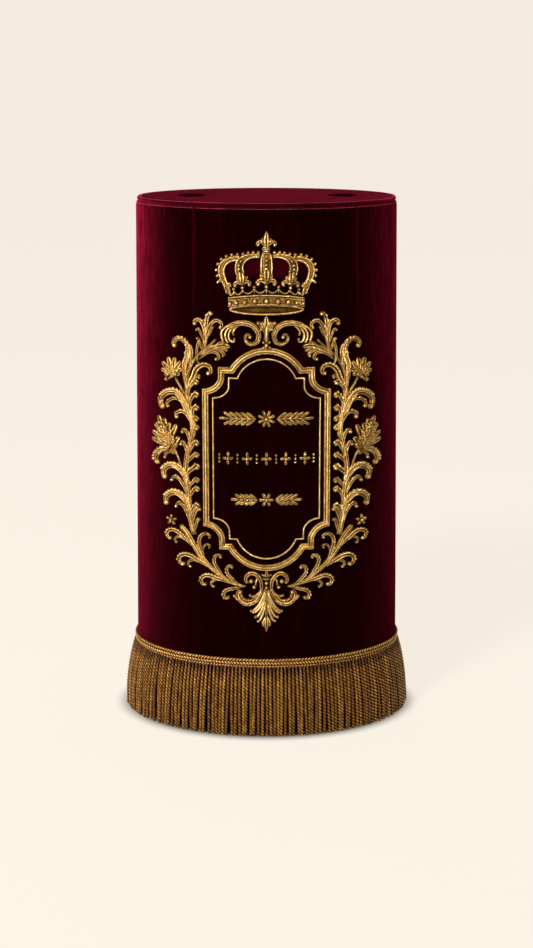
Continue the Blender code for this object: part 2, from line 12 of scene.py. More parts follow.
import bpy
import numpy as np
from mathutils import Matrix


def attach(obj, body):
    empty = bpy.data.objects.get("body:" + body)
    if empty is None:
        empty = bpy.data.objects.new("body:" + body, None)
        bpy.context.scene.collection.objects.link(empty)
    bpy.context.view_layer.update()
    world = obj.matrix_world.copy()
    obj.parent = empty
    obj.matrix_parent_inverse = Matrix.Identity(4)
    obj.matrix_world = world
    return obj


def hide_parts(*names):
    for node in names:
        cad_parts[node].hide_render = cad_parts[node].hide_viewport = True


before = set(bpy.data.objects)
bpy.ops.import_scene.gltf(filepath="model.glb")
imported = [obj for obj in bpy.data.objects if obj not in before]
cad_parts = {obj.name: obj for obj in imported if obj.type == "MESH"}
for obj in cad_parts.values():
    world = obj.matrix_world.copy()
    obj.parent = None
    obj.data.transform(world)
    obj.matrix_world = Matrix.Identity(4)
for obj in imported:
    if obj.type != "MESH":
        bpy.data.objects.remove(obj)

logging.basicConfig(level=logging.INFO, format="%(name)s: %(message)s")
LOG = logging.getLogger("mantle")

MM = 0.001
Number = float | np.ndarray
Knots = list | np.ndarray

# The wall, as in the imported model
HEIGHT = 0.684
TOP_HALF_WIDTH = 0.165
TOP_HALF_DEPTH = 0.099
HEM_HALF_WIDTH = 0.1755
HEM_HALF_DEPTH = 0.117
CLOTH = 2 * MM
SEW_GAP = 0.4 * MM
# The stitching is pressed into the pile by this much, in millimetres
PRESSED = 0.45
# The padding raises every motif by this factor over the heights written with it
PADDING = 1.55

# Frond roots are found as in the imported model: stem step and clear space, in millimetres
STEM_STEP = 7.5
FROND_CLEAR = 0.4
CURL_TIGHTENS = 2.2

LOWER_STEM = [(-27, 200), (-42, 203), (-61, 215), (-79, 231), (-91, 248), (-100, 263), (-110, 274)]
UPPER_STEM = [
    (-92, 264), (-97, 290), (-98, 318), (-101, 343), (-100, 362), (-95, 384), (-92, 402),
    (-96, 430), (-99, 455), (-97, 474), (-87, 493), (-74, 505), (-62, 517),
]
# Fronds: distance along the stem, length, width, first lean and whole curl
LOWER_OUTER = [(12, 31, 5.5, 14, 240), (36, 38, 6, 14, 240), (66, 44, 6.5, 16, 240), (94, 42, 6, 16, 240)]
LOWER_INNER = [(20, 27, 5, 18, 200), (40, 28, 5, 18, 200), (70, 38, 5, 14, 200)]
UPPER_OUTER = [
    (84, 26, 3, 18, 10), (222, 54, 7.5, 2, 250, False),
]
UPPER_INNER = [(10, 12, 4, 12, 90), (24, 14, 4.5, 20, 110), (206, 44, 7, 14, 240, False)]
# Heights of the knobs of the small leaves between the upper stem and the cartouche, and their widths
INNER_KNOBS = [
    (302, 5.6), (324.3, 5.2), (336, 4.6), (353, 6.4), (368.5, 5.2), (384, 5.4), (404, 5.4), (415.5, 4.6),
    (429, 5.6), (445.5, 5.8), (462, 5.6),
]
INNER_KNOB_LINE = -87.6
# The spray that ends the upper branch: knots, width, ribs, and side of its curl or 0
UPPER_SPRAY = [
    ([(-81, 496), (-77, 507), (-75.4, 521), (-77, 532.5), (-81.5, 539.5), (-87.5, 539.5), (-89.2, 534.5)],
     6.6, 3, 1),
    ([(-77.2, 512), (-79.5, 521), (-83.5, 528.5), (-86.5, 528)], 4.2, 2, 1),
    ([(-79.5, 502), (-81.5, 511), (-84.5, 518)], 4.0, 2, 1),
    ([(-84, 484), (-86, 496), (-85, 507), (-82.4, 517)], 4.6, 2, 0),
    ([(-93, 487), (-92, 499), (-94.5, 507), (-99.5, 508.5)], 5.4, 2, 1),
    ([(-95.5, 474), (-94.5, 488), (-96.5, 497), (-100.5, 499)], 5.0, 2, 1),
    ([(-94, 458), (-89, 467), (-84.5, 470.5), (-81.5, 467.5)], 4.4, 2, -1),
    ([(-96, 374), (-95.6, 386), (-98.6, 395.5), (-103.2, 399.5), (-106, 396)], 6.0, 3, 1),
    ([(-99, 356), (-99, 368), (-101.5, 378.5), (-105.5, 383.5), (-108, 380)], 6.0, 3, 1),
    ([(-94, 390), (-92.8, 406.6), (-101.1, 431.3), (-111.2, 445.5), (-124.2, 445.1), (-133.6, 434.6),
      (-131.1, 423.5)], 9.2, 4, 1),
    ([(-99, 424), (-104, 434), (-111.5, 438.4), (-119.1, 436.9), (-124.7, 430.8), (-122.5, 426.1)],
     5.4, 3, 1),
    ([(-92, 388), (-91, 402), (-96.1, 415.2), (-103.7, 422.7), (-112.8, 419.7), (-112.2, 413.6)], 6.6, 3, 1),
    ([(-98, 316), (-102, 336), (-106.1, 345), (-113.6, 350.4), (-122.9, 350.3), (-130.6, 342.8),
      (-129.8, 332.6)], 9.0, 4, 1),
    ([(-100, 314), (-104, 326), (-110, 334.5), (-116, 337), (-120.4, 331.9)], 5.6, 3, 1),
    ([(-96, 282), (-99.2, 300.9), (-103.7, 309.7), (-111.1, 315.2), (-119.5, 315.4), (-127.6, 308.6),
      (-128.4, 298.9)], 9.0, 4, 1),
    ([(-97.4, 280), (-100.4, 291.4), (-105, 300), (-111, 303.3), (-115, 297.9)], 5.6, 3, 1),
    ([(-75.5, 518), (-74.2, 530), (-73.2, 541), (-70.5, 548), (-66.5, 550)], 6.8, 3, -1),
    ([(-77, 497), (-74.4, 514), (-71.5, 528), (-66.5, 537.5), (-60.5, 540.6), (-55.2, 537), (-55.5, 530.5)],
     5.8, 3, -1),
    ([(-72.2, 518), (-68.5, 526), (-65.5, 533)], 3.8, 2, -1),
    ([(-80, 496), (-72, 503), (-62.5, 507.8), (-53, 509.8), (-44.5, 507.8)], 7.0, 3, 0),
    ([(-66, 505.5), (-60, 511), (-55, 513.6), (-51.5, 513)], 4.2, 2, -1),
    ([(-65, 505), (-57.5, 503.5), (-52.5, 499.5), (-51.8, 496)], 5.0, 2, -1),
    ([(-58, 507), (-51, 505.2), (-47.3, 502)], 4.4, 2, 0),
    ([(-83, 491), (-75, 498), (-67.5, 501.3), (-61, 499.7), (-58.4, 494.6), (-62, 491)], 5.4, 2, -1),
]
# The stalk that carries the upper flower
UPPER_SPRAY += [([(-97, 438), (-104, 450), (-110, 459), (-114.5, 467)], 3.2, 2, 0)]
# The upper flower: middle, petals below and above as tips and widths, angles of its heart, beads and radii
HIGH_HUB = (-117.0, 469.5)
HIGH_PETALS_BELOW = [
    (-132.4, 473.5, 8.0), (-130.6, 483.2, 8.0), (-106.2, 486.5, 8.0), (-104.2, 477.6, 7.6),
    (-107.0, 469.5, 6.4), (-127.5, 459.0, 7.4), (-122.8, 490.2, 8.4), (-114.0, 490.6, 8.4),
]
HIGH_PETALS_ABOVE = [
    (-127.5, 475.5, 6.4), (-123.5, 480.5, 6.4), (-117.2, 482.5, 6.6), (-111.2, 479.0, 6.4),
]
HIGH_HEART = (20, 52, 90, 128, 160, 205, -15)
HIGH_BEADS = [
    (-118.0, 473.2, 2.7), (-112.6, 471.2, 2.6), (-121.6, 468.4, 2.5), (-116.4, 466.4, 2.6),
    (-123.6, 462.6, 2.2), (-109.4, 474.6, 2.0),
]
# The middle flower: ends of its axis, petals as share of the axis, tip and width, beads and radii
WIDE_AXIS = ((-117.0, 372.5), (-133.0, 404.0))
WIDE_PETALS_BELOW = [
    (0.05, -146.0, 382.0, 8.8), (0.02, -111.5, 380.5, 7.6), (0.14, -145.2, 391.5, 8.6),
    (0.10, -109.8, 389.6, 8.2), (0.34, -141.8, 401.8, 8.4), (0.30, -113.2, 405.0, 8.6),
    (0.55, -121.5, 406.0, 7.4), (0.60, -128.6, 410.8, 7.4), (0.62, -137.0, 413.0, 8.2),
]
WIDE_PETALS_BETWEEN = [
    (0.10, -138.0, 383.0, 6.8), (0.20, -138.5, 389.5, 6.6), (0.30, -137.0, 396.5, 6.6),
    (0.12, -114.5, 384.5, 6.2), (0.24, -116.0, 391.5, 6.4), (0.38, -119.0, 399.0, 6.4),
    (0.46, -132.5, 405.5, 6.8), (0.48, -125.5, 403.5, 6.0),
]
WIDE_PETALS_ABOVE = [(0.30, -133.0, 390.5, 5.6), (0.32, -122.0, 393.0, 5.6), (0.42, -129.5, 398.0, 5.6)]
WIDE_BEADS = [
    (-127.5, 393.0, 2.5), (-129.5, 386.6, 2.6), (-124.4, 385.0, 2.6), (-131.6, 380.6, 2.4),
    (-120.4, 381.6, 2.4), (-126.4, 378.6, 2.6), (-121.4, 375.4, 2.4), (-126.0, 400.0, 2.2),
]
WIDE_LEAF = [
    (-112, 366), (-116.1, 369.8), (-122.6, 372.1), (-131.9, 369.8), (-139.4, 362), (-141, 353.6),
    (-137, 349.9),
]
WIDE_LEAF_INNER = [(-116, 366), (-122, 368.5), (-127, 365), (-128.7, 359.5)]


class Side(Enum):
    """Which half of the mirror-symmetric embroidery; the value turns the tables of the left half."""

    LEFT = 1
    RIGHT = -1

    @property
    def word(self) -> str:
        """The side's word in the names of pieces."""
        return self.name.lower()


class Growth(Enum):
    """How a frond grows, told from its curl."""

    CURLED = "curled"
    LEAFLET = "leaflet"
    STALK = "stalk"


def half_axes(z: Number) -> tuple:
    """Half width and half depth of the wall's outer face.

    Args:
        z: height in metres, a number or an array.

    Returns:
        Two values or arrays, in metres.
    """
    share = np.asarray(z) / HEIGHT
    width = HEM_HALF_WIDTH + (TOP_HALF_WIDTH - HEM_HALF_WIDTH) * share
    depth = HEM_HALF_DEPTH + (TOP_HALF_DEPTH - HEM_HALF_DEPTH) * share
    return width, depth


def around(angle: Number, z: Number, out: Number) -> np.ndarray:
    """Points off the wall: the oval at height z, moved along its level normal.

    Args:
        angle: turn from the middle of the front, growing to +X.
        z: height in metres.
        out: distance off the wall in metres.

    Returns:
        Array of points, the last axis x, y, z.
    """
    angle, z, out = np.broadcast_arrays(np.asarray(angle, float), z, out)
    width, depth = half_axes(z)
    sine, cosine = np.sin(angle), np.cos(angle)
    across, along = sine / width, -cosine / depth
    size = np.hypot(across, along)
    x = width * sine + across / size * out
    y = -depth * cosine + along / size * out
    return np.stack([x, y, z], axis=-1)


def on_front(flat: np.ndarray, lift: np.ndarray) -> np.ndarray:
    """Millimetre places on the front, wrapped round the wall.

    Args:
        flat: array whose last axis is x across and z up, in millimetres.
        lift: height over the cloth in millimetres.

    Returns:
        Array of points in metres.
    """
    z = flat[..., 1] * MM
    turn = np.arcsin(np.clip(flat[..., 0] * MM / half_axes(z)[0], -0.999, 0.999))
    return around(turn, z, SEW_GAP + (lift * PADDING - PRESSED) * MM)


def smooth(share: Number) -> Number:
    """0 to 1 with level ends, for a number or an array."""
    share = np.clip(share, 0.0, 1.0)
    return share * share * (3 - 2 * share)


def unit(angle: Number) -> np.ndarray:
    """Unit directions in the plane of the front for angles in radians."""
    return np.stack([np.cos(angle), np.sin(angle)], axis=-1)


def evenly(path: np.ndarray, count: int) -> np.ndarray:
    """A path resampled to even steps.

    Args:
        path: points of the path, one a row.
        count: number of points wanted.

    Returns:
        Array of count points.
    """
    lengths = np.concatenate([[0.0], np.cumsum(np.linalg.norm(np.diff(path, axis=0), axis=1))])
    wanted = np.linspace(0.0, lengths[-1], count)
    return np.stack([np.interp(wanted, lengths, path[:, k]) for k in range(path.shape[1])], axis=-1)


def path_length(path: np.ndarray) -> float:
    """Length of a path in its own units."""
    return float(np.linalg.norm(np.diff(path, axis=0), axis=1).sum())


def curve_through(points: Knots, step: float = 1.0) -> np.ndarray:
    """A Catmull-Rom curve through points: 0.5 (2b + (c-a)t + (2a-5b+4c-d)t2 + (3b-a-3c+d)t3).

    Args:
        points: pairs across and up, in millimetres.
        step: distance of the resulting points in millimetres.

    Returns:
        Array of evenly spaced points.
    """
    knots = np.asarray(points, float)
    ends = np.vstack([2 * knots[0] - knots[1], knots, 2 * knots[-1] - knots[-2]])
    t = np.linspace(0, 1, 17)[:-1, None]
    parts = [
        0.5 * (2 * b + (c - a) * t + (2 * a - 5 * b + 4 * c - d) * t ** 2 + (3 * b - a - 3 * c + d) * t ** 3)
        for a, b, c, d in zip(ends, ends[1:], ends[2:], ends[3:])
    ]
    fine = np.vstack(parts + [knots[-1:]])
    return evenly(fine, max(3, round(path_length(fine) / step) + 1))


def headings(path: np.ndarray) -> np.ndarray:
    """Direction of travel at each point of an open path, in radians without jumps."""
    step = np.gradient(path, axis=0)
    return np.unwrap(np.arctan2(step[:, 1], step[:, 0]))


def wander(number: Number, kind: float) -> Number:
    """An irregular value from -1 to 1: two sine waves that are out of step with each other."""
    return 0.6 * np.sin(number * 2.4 + kind) + 0.4 * np.sin(number * 5.1 + 2 * kind)


def ring_quads(rows: int, columns: int) -> np.ndarray:
    """Quads between neighbouring rings of a grid, the last ring joined to the first.

    Args:
        rows: number of rings.
        columns: points of each ring.

    Returns:
        Point numbers, rows by columns by 4.
    """
    numbers = np.arange(rows * columns).reshape(rows, columns)
    upper = np.roll(numbers, -1, axis=0)
    return np.stack([numbers, upper, np.roll(upper, -1, axis=1), np.roll(numbers, -1, axis=1)], axis=-1)


def stand(name: str, mesh: bpy.types.Mesh, finish: "Finish") -> bpy.types.Object:
    """Gives a mesh its finish and puts it into the scene, at the origin.

    Args:
        name: name of the piece.
        mesh: its finished mesh.
        finish: finish whose material it gets.

    Returns:
        The object.
    """
    mesh.shade_smooth()
    mesh.materials.append(finish.material())
    made = bpy.data.objects.new(name, mesh)
    bpy.context.scene.collection.objects.link(made)
    LOG.info("%s has %d points and %d faces", name, len(mesh.vertices), len(mesh.polygons))
    return made


@dataclass(frozen=True)
class Cut:
    """The cut of one padded blade, in millimetres and in shares of its width and length."""

    width: float
    high: float = 2.0
    ribs: int = 1
    root: float = 0.35
    widest: float = 0.5
    tip: float = 0.45
    lift: float = 0.0
    groove: float = 0.45
    columns: int = 4


class Relief:
    """Parts of one piece, gathered as arrays and joined into one closed-shell mesh."""

    def __init__(self) -> None:
        """Starts with nothing in it."""
        self.points = []
        self.uvs = []
        # Painted shade and highlight of each point
        self.heights = []
        self.quads = []
        self.caps = []
        self.count = 0

    def rings(self, points: np.ndarray, uv: np.ndarray, height: np.ndarray, cyclic: bool = False) -> None:
        """Adds a grid whose rows are closed rings, which are joined one to the next.

        Args:
            points: rows by columns by 3, in metres.
            uv: rows by columns by 2, metres along and across.
            height: painted shade and highlight, rows by columns, 0 in the recesses to 1 on the crests.
            cyclic: whether the last ring is joined to the first; otherwise a face closes each end.
        """
        rows, columns = points.shape[:2]
        quads = self.count + ring_quads(rows, columns)
        self.quads.append((quads if cyclic else quads[:-1]).reshape(-1, 4))
        if not cyclic:
            self.caps += [tuple(quads[0, :, 0].tolist()), tuple(quads[-1, ::-1, 0].tolist())]
        self.points.append(points.reshape(-1, 3))
        self.uvs.append(uv.reshape(-1, 2))
        self.heights.append(height.reshape(-1))
        self.count += rows * columns

    def blade(self, path: np.ndarray, cut: Cut) -> None:
        """Adds a padded blade: a ribbed dome swept along a path, round at its tip.

        Half width w(u) rises as a sine to its widest place and falls as a cosine to the tip.
        Across v from -1 to 1 the height is (1-|v|^2.4)^0.6 with a groove between neighbouring ribs.

        Args:
            path: places on the front, in millimetres.
            cut: sizes of the blade.
        """
        length = path_length(path)
        round_share = min(0.45, cut.tip * cut.width / 2 / length)
        body = np.linspace(0, 1 - round_share, int(np.clip(length / 1.25, 5, 60)))
        ending = 1 - round_share + round_share * np.sin(np.radians([25, 48, 66, 80]))
        u = np.concatenate([body, ending])
        spaced = np.linspace(0, 1, len(path))
        lengths = np.concatenate([[0.0], np.cumsum(np.linalg.norm(np.diff(path, axis=0), axis=1))]) / length
        at = np.interp(u, lengths, spaced)
        middle = np.stack([np.interp(at, spaced, path[:, k]) for k in (0, 1)], axis=-1)
        turn = np.interp(at, spaced, headings(path))
        rise = cut.root + (1 - cut.root) * np.sin(np.pi / 2 * np.clip(u / cut.widest, 0, 1))
        fall_share = np.clip((u - cut.widest) / (1 - cut.widest), 0, 1)
        fall = cut.tip + (1 - cut.tip) * np.cos(np.pi / 2 * fall_share)
        cap = np.sqrt(1 - np.clip((u - 1 + round_share) / round_share, 0, 0.998) ** 2)
        half = np.where(u < cut.widest, rise, fall) * cut.width / 2 * cap
        high = cut.high * (0.72 + 0.28 * np.sin(np.pi * np.clip(u * 1.1, 0, 1))) * (0.35 + 0.65 * cap)
        v = np.linspace(-1, 1, max(cut.columns, 3) * cut.ribs + 3)
        dome = (1 - np.abs(v) ** 2.4) ** 0.6
        rib = np.abs(np.sin(cut.ribs * np.pi * (v + 1) / 2)) ** 0.8
        shape = dome * (1 - cut.groove * (1 - rib)) if cut.ribs > 1 else dome
        reach = half[:, None] * v[None, :]
        flat = middle[:, None] + unit(turn + np.pi / 2)[:, None] * reach[..., None]
        lift = cut.lift + high[:, None] * shape[None, :]
        lift[:, 0] = lift[:, -1] = 0.0
        uv = np.stack(np.broadcast_arrays((u * length * MM)[:, None], reach * MM), axis=-1)
        shade = dome ** 0.5 * (1 - 0.92 * (1 - rib) ** 1.3) if cut.ribs > 1 else dome ** 0.7
        self.rings(on_front(flat, lift), uv, np.broadcast_to(shade, lift.shape) * (0.3 + 0.7 * cap[:, None]))

    def bead(self, x: float, z: float, radius: float, high: float, lift: float = 0.0,
             stretch: float = 1.0) -> None:
        """Adds a rounded bead: a ball squeezed to `high`, its place given in millimetres.

        Args:
            x: place across.
            z: place up.
            radius: half width.
            high: height over its middle.
            lift: height of its middle over the cloth.
            stretch: how much taller than wide it is.
        """
        polar = np.radians([8, 30, 52, 72, 92, 125])[:, None]
        turn = np.linspace(0, 2 * np.pi, 12, endpoint=False)[None, :]
        across = x + radius * np.sin(polar) * np.cos(turn)
        up = z + radius * stretch * np.sin(polar) * np.sin(turn)
        rise = np.broadcast_to(lift + high * np.cos(polar), across.shape)
        flat = np.stack([across, up], axis=-1)
        shade = np.broadcast_to(0.25 + 0.75 * np.clip(np.cos(polar), 0, 1), across.shape)
        self.rings(on_front(flat, np.maximum(rise, 0.0)), (flat * MM)[..., ::-1], shade)

    def knob(self, path: np.ndarray, radius: float, side: float, high: float = 2.2) -> None:
        """Adds the ball at a curled tip, a little to the inside of the curl.

        Args:
            path: middle line of the curl.
            radius: half width of the ball.
            side: side of the curl, +1 left of travel.
            high: height of the ball.
        """
        turn = headings(path)[-1]
        place = path[-1] + unit(turn + side * np.pi / 2) * radius * 0.35 - unit(turn) * radius * 0.5
        self.bead(place[0], place[1], radius, high, 0.3)

    def band(self, outline: np.ndarray, section: np.ndarray) -> None:
        """Adds a raised band along a closed outline, mitred at its corners.

        Args:
            outline: closed run of places in millimetres, anticlockwise.
            section: pairs of inset and lift in millimetres, outer edge first.
        """
        into = outline - np.roll(outline, 1, axis=0)
        out = np.roll(outline, -1, axis=0) - outline
        into /= np.linalg.norm(into, axis=1)[:, None]
        out /= np.linalg.norm(out, axis=1)[:, None]
        left_in, left_out = into[:, ::-1] * (-1, 1), out[:, ::-1] * (-1, 1)
        across = left_in + left_out
        across /= np.linalg.norm(across, axis=1)[:, None]
        across /= np.sum(across * left_out, axis=1)[:, None]
        flat = outline[:, None] + across[:, None] * section[None, :, :1]
        lift = np.broadcast_to(section[:, 1], flat.shape[:2])
        steps = np.linalg.norm(np.diff(outline, axis=0, append=outline[:1]), axis=1)
        along = (np.cumsum(steps) - steps)[:, None]
        uv = np.stack(np.broadcast_arrays(along * MM, section[None, :, 0] * MM), axis=-1)
        # Painted shade: the lower parts of the section are darker
        height = np.broadcast_to((section[:, 1] / section[:, 1].max()) ** 0.6, lift.shape)
        self.rings(on_front(flat, lift)[:, ::-1], uv[:, ::-1], height[:, ::-1], cyclic=True)

    def make(self, name: str, finish: "Finish") -> bpy.types.Object:
        """Makes the object, with its UV map and its `relief` attribute of painted shade and highlight.

        Args:
            name: name of the piece.
            finish: finish whose material it gets.

        Returns:
            The object, at the origin.
        """
        points = np.concatenate(self.points)
        faces = np.concatenate(self.quads).tolist() + self.caps
        mesh = bpy.data.meshes.new(name)
        mesh.from_pydata(points.tolist(), [], faces)
        corner = np.zeros(len(mesh.loops), dtype=np.int32)
        mesh.loops.foreach_get("vertex_index", corner)
        uvs = np.concatenate(self.uvs)[corner]
        mesh.uv_layers.new(name="threads").data.foreach_set("uv", uvs.ravel())
        relief = mesh.attributes.new("relief", "FLOAT", "POINT")
        relief.data.foreach_set("value", np.concatenate(self.heights).astype(np.float32))
        return stand(name, mesh, finish)


Feed = bpy.types.NodeSocket | float | tuple


class Nodes:
    """Short calls for building one node tree."""

    def __init__(self, tree: bpy.types.NodeTree) -> None:
        """Keeps the tree."""
        self.tree = tree

    def add(self, kind: str, **settings) -> bpy.types.Node:
        """Adds a node and sets its properties."""
        node = self.tree.nodes.new(kind)
        for name, value in settings.items():
            setattr(node, name, value)
        return node

    def join(self, source: Feed, target: bpy.types.NodeSocket) -> None:
        """Links an output to an input, or sets the input when the source is a plain value."""
        if isinstance(source, bpy.types.NodeSocket):
            self.tree.links.new(source, target)
        else:
            target.default_value = source

    def feed(self, node: bpy.types.Node, values: dict) -> None:
        """Feeds the named inputs of a node."""
        for name, value in values.items():
            self.join(value, node.inputs[name])

    def math(self, operation: str, first: Feed, second: Feed = 0.0) -> bpy.types.NodeSocket:
        """Adds a math node and returns its value."""
        node = self.add("ShaderNodeMath", operation=operation)
        self.join(first, node.inputs[0])
        self.join(second, node.inputs[1])
        return node.outputs[0]

    def total(self, first: Feed, *others: Feed) -> bpy.types.NodeSocket:
        """The sum of two or more values."""
        for other in others:
            first = self.math("ADD", first, other)
        return first

    def times(self, first: Feed, second: Feed) -> bpy.types.NodeSocket:
        """The product of two values."""
        return self.math("MULTIPLY", first, second)

    def swing(self, value: Feed, factor: float, middle: float = 0.5) -> bpy.types.NodeSocket:
        """A value about its middle, scaled: (value - middle) factor."""
        return self.times(self.math("SUBTRACT", value, middle), factor)

    def ramp(self, value: Feed, start: float, stop: float, least: float = 0.0,
             eased: bool = True) -> bpy.types.NodeSocket:
        """Maps a value to a share.

        Args:
            value: the value.
            start: where the share is least.
            stop: where the share is 1.
            least: the least share.
            eased: whether it has level ends.

        Returns:
            The share.
        """
        node = self.add("ShaderNodeMapRange", interpolation_type="SMOOTHSTEP" if eased else "LINEAR")
        self.feed(node, {"Value": value, "From Min": start, "From Max": stop})
        if not eased:
            node.inputs["To Min"].default_value = least
        return node.outputs[0]

    def spot(self) -> bpy.types.NodeSocket:
        """Coordinates of the object."""
        return self.add("ShaderNodeTexCoord").outputs["Object"]

    def axes(self, place: bpy.types.NodeSocket) -> list:
        """The three parts of a vector."""
        node = self.add("ShaderNodeSeparateXYZ")
        self.join(place, node.inputs[0])
        return list(node.outputs)

    def relief(self) -> bpy.types.NodeSocket:
        """The `relief` attribute of the piece: its painted shade and highlight."""
        return self.add("ShaderNodeAttribute", attribute_name="relief").outputs["Fac"]

    def noise(self, place: Feed, scale: float, detail: float = 2.0) -> bpy.types.NodeSocket:
        """Adds a noise texture and returns its value."""
        node = self.add("ShaderNodeTexNoise")
        self.feed(node, {"Vector": place, "Scale": scale, "Detail": detail})
        return node.outputs[0]

    def upright(self, place: Feed, share: float) -> bpy.types.NodeSocket:
        """Coordinates that draw a noise out along the height, which is scaled by a share."""
        node = self.add("ShaderNodeVectorMath", operation="MULTIPLY")
        self.join(place, node.inputs[0])
        node.inputs[1].default_value = (1.0, 1.0, share)
        return node.outputs[0]

    def blend(self, share: Feed, first: Feed, second: Feed) -> bpy.types.NodeSocket:
        """Mixes two colours and returns the result."""
        node = self.add("ShaderNodeMix", data_type="RGBA")
        self.join(share, node.inputs[0])
        self.join(first, node.inputs[6])
        self.join(second, node.inputs[7])
        return node.outputs[2]


def new_group(name: str, colours: tuple, numbers: tuple) -> tuple:
    """Makes an empty node group with colour, roughness and height outputs.

    Args:
        name: name of the group.
        colours: names of its colour inputs.
        numbers: names of its number inputs.

    Returns:
        The group, its node maker, the outputs of its input node and its output node.
    """
    group = bpy.data.node_groups.new(name, "ShaderNodeTree")
    for words, kind in ((colours, "Color"), (numbers, "Float")):
        for word in words:
            group.interface.new_socket(name=word, in_out="INPUT", socket_type=f"NodeSocket{kind}")
    for word, kind in (("Color", "Color"), ("Roughness", "Float"), ("Height", "Float")):
        group.interface.new_socket(name=word, in_out="OUTPUT", socket_type=f"NodeSocket{kind}")
    nodes = Nodes(group)
    return group, nodes, nodes.add("NodeGroupInput").outputs, nodes.add("NodeGroupOutput")


def thread_group() -> bpy.types.NodeTree:
    """The shared look of laid metal thread: fine turns across the padding, with painted shade in the recesses
    and painted highlights on the crests.

    Returns:
        The node group, made once.
    """
    made = bpy.data.node_groups.get("laid_thread")
    if made is not None:
        return made
    group, nodes, given, wanted = new_group("laid_thread", ("Recess_shade", "Middle", "Crest_highlight"), ("Pitch", "Slant"))
    along, across, _ = nodes.axes(nodes.add("ShaderNodeUVMap", uv_map="threads").outputs[0])
    spot = nodes.spot()
    slanted = nodes.total(along, nodes.times(across, given["Slant"]))
    wave = nodes.math("SINE", nodes.times(nodes.math("DIVIDE", slanted, given["Pitch"]), 2 * math.pi))
    thread = nodes.total(nodes.times(wave, 0.5), 0.5)
    cloud = nodes.noise(spot, 150.0, 3.0)
    grain = nodes.noise(spot, 2600.0)
    # glint paints fine glints into the colour; cloud varies its tone at random
    glint = nodes.noise(spot, 760.0, 1.0)
    # Painted light and tone: the relief attribute paints shade in the recesses and highlights on the crests
    painted_light_and_tone = nodes.total(nodes.times(nodes.relief(), 0.86), nodes.times(thread, 0.18),
                       nodes.swing(cloud, 0.4), nodes.swing(glint, 0.55))
    # Painted shade blends toward the dark colour, painted highlight toward the bright one
    colour = nodes.blend(nodes.ramp(painted_light_and_tone, 0.40, 0.86), given["Recess_shade"], given["Middle"])
    dull = nodes.times(nodes.math("SUBTRACT", 1.0, painted_light_and_tone), 0.22)
    nodes.feed(wanted, {
        "Color": nodes.blend(nodes.ramp(painted_light_and_tone, 0.76, 1.12), colour, given["Crest_highlight"]),
        "Roughness": nodes.total(0.22, dull, nodes.times(grain, 0.14)),
        "Height": nodes.total(thread, nodes.times(grain, 0.6)),
    })
    return group


def pile_group() -> bpy.types.NodeTree:
    """The shared look of velvet: upright pile in streaks, with soft clouds where it leans, and painted
    highlight and shade from the relief attribute.

    Returns:
        The node group, made once.
    """
    made = bpy.data.node_groups.get("upright_pile")
    if made is not None:
        return made
    group, nodes, given, wanted = new_group("upright_pile", ("Deep", "Light"), ("Streak", "Bright"))
    spot = nodes.spot()
    streaks = nodes.noise(nodes.upright(spot, 0.045), 520.0, 4.0)
    bands = nodes.noise(nodes.upright(spot, 0.10), 90.0, 3.0)
    clouds = nodes.noise(spot, 16.0, 3.0)
    fuzz = nodes.noise(spot, 3200.0)
    drawn = nodes.times(nodes.total(nodes.swing(streaks, 1.5), nodes.swing(bands, 1.3)), given["Streak"])
    # The relief attribute paints highlight on the wall's creases and shade where the board turns down
    share = nodes.total(drawn, nodes.swing(clouds, 0.8), nodes.swing(fuzz, 0.9), given["Bright"],
                        nodes.times(nodes.relief(), 2.2))
    limit = nodes.add("ShaderNodeClamp")
    nodes.feed(limit, {"Value": share, "Max": 3.0})
    mixed = nodes.blend(limit.outputs[0], given["Deep"], given["Light"])
    mixed.node.clamp_factor = False
    nodes.feed(wanted, {
        "Color": mixed,
        "Roughness": nodes.total(0.72, nodes.times(streaks, 0.25)),
        "Height": nodes.total(nodes.times(streaks, 0.8), fuzz),
    })
    return group


@dataclass(frozen=True)
class Finish:
    """One finish: a Principled shader fed by a shared group."""

    name: str
    slot: str

    def begin(self) -> tuple:
        """Makes the empty material and returns it with its node maker and shader."""
        made = bpy.data.materials.new(self.name)
        made.use_nodes = True
        return made, Nodes(made.node_tree), made.node_tree.nodes["Principled BSDF"]

    def connect(self, nodes: Nodes, shader: bpy.types.Node, group: bpy.types.Node, bump: tuple) -> None:
        """Feeds the shader from the group.

        Args:
            nodes: node maker of the material.
            shader: Principled node.
            group: group node with colour, roughness and height.
            bump: strength and distance in metres.
        """
        relief = nodes.add("ShaderNodeBump")
        given = group.outputs
        nodes.feed(relief, {"Strength": bump[0], "Distance": bump[1], "Height": given["Height"]})
        nodes.feed(shader, {"Base Color": given["Color"], "Roughness": given["Roughness"],
                            "Normal": relief.outputs[0]})

    def material(self) -> bpy.types.Material:
        """The material of this finish, made once."""
        return bpy.data.materials.get(self.name) or self.paint()

    def paint(self) -> bpy.types.Material:
        """Makes the material."""
        raise NotImplementedError


@dataclass(frozen=True)
class ThreadFinish(Finish):
    """Metal thread laid over padding."""

    # Painted shade colour for the recesses, the middle tone, and painted highlight colour for the crests
    recess_shade: tuple = (0.014, 0.0035, 0.0003, 1)
    middle: tuple = (0.285, 0.135, 0.012, 1)
    crest_highlight: tuple = (0.95, 0.660, 0.270, 1)
    pitch: float = 1.55 * MM
    slant: float = 0.55
    metal: float = 0.80
    bump: tuple = (0.8, 0.32 * MM)

    def paint(self) -> bpy.types.Material:
        """Makes the material.

        Returns:
            The material.
        """
        made, nodes, shader = self.begin()
        group = nodes.add("ShaderNodeGroup", node_tree=thread_group())
        nodes.feed(group, {"Recess_shade": self.recess_shade, "Middle": self.middle, "Crest_highlight": self.crest_highlight,
                           "Pitch": self.pitch, "Slant": self.slant})
        nodes.feed(shader, {"Metallic": self.metal, "Specular IOR Level": 0.5})
        self.connect(nodes, shader, group, self.bump)
        return made


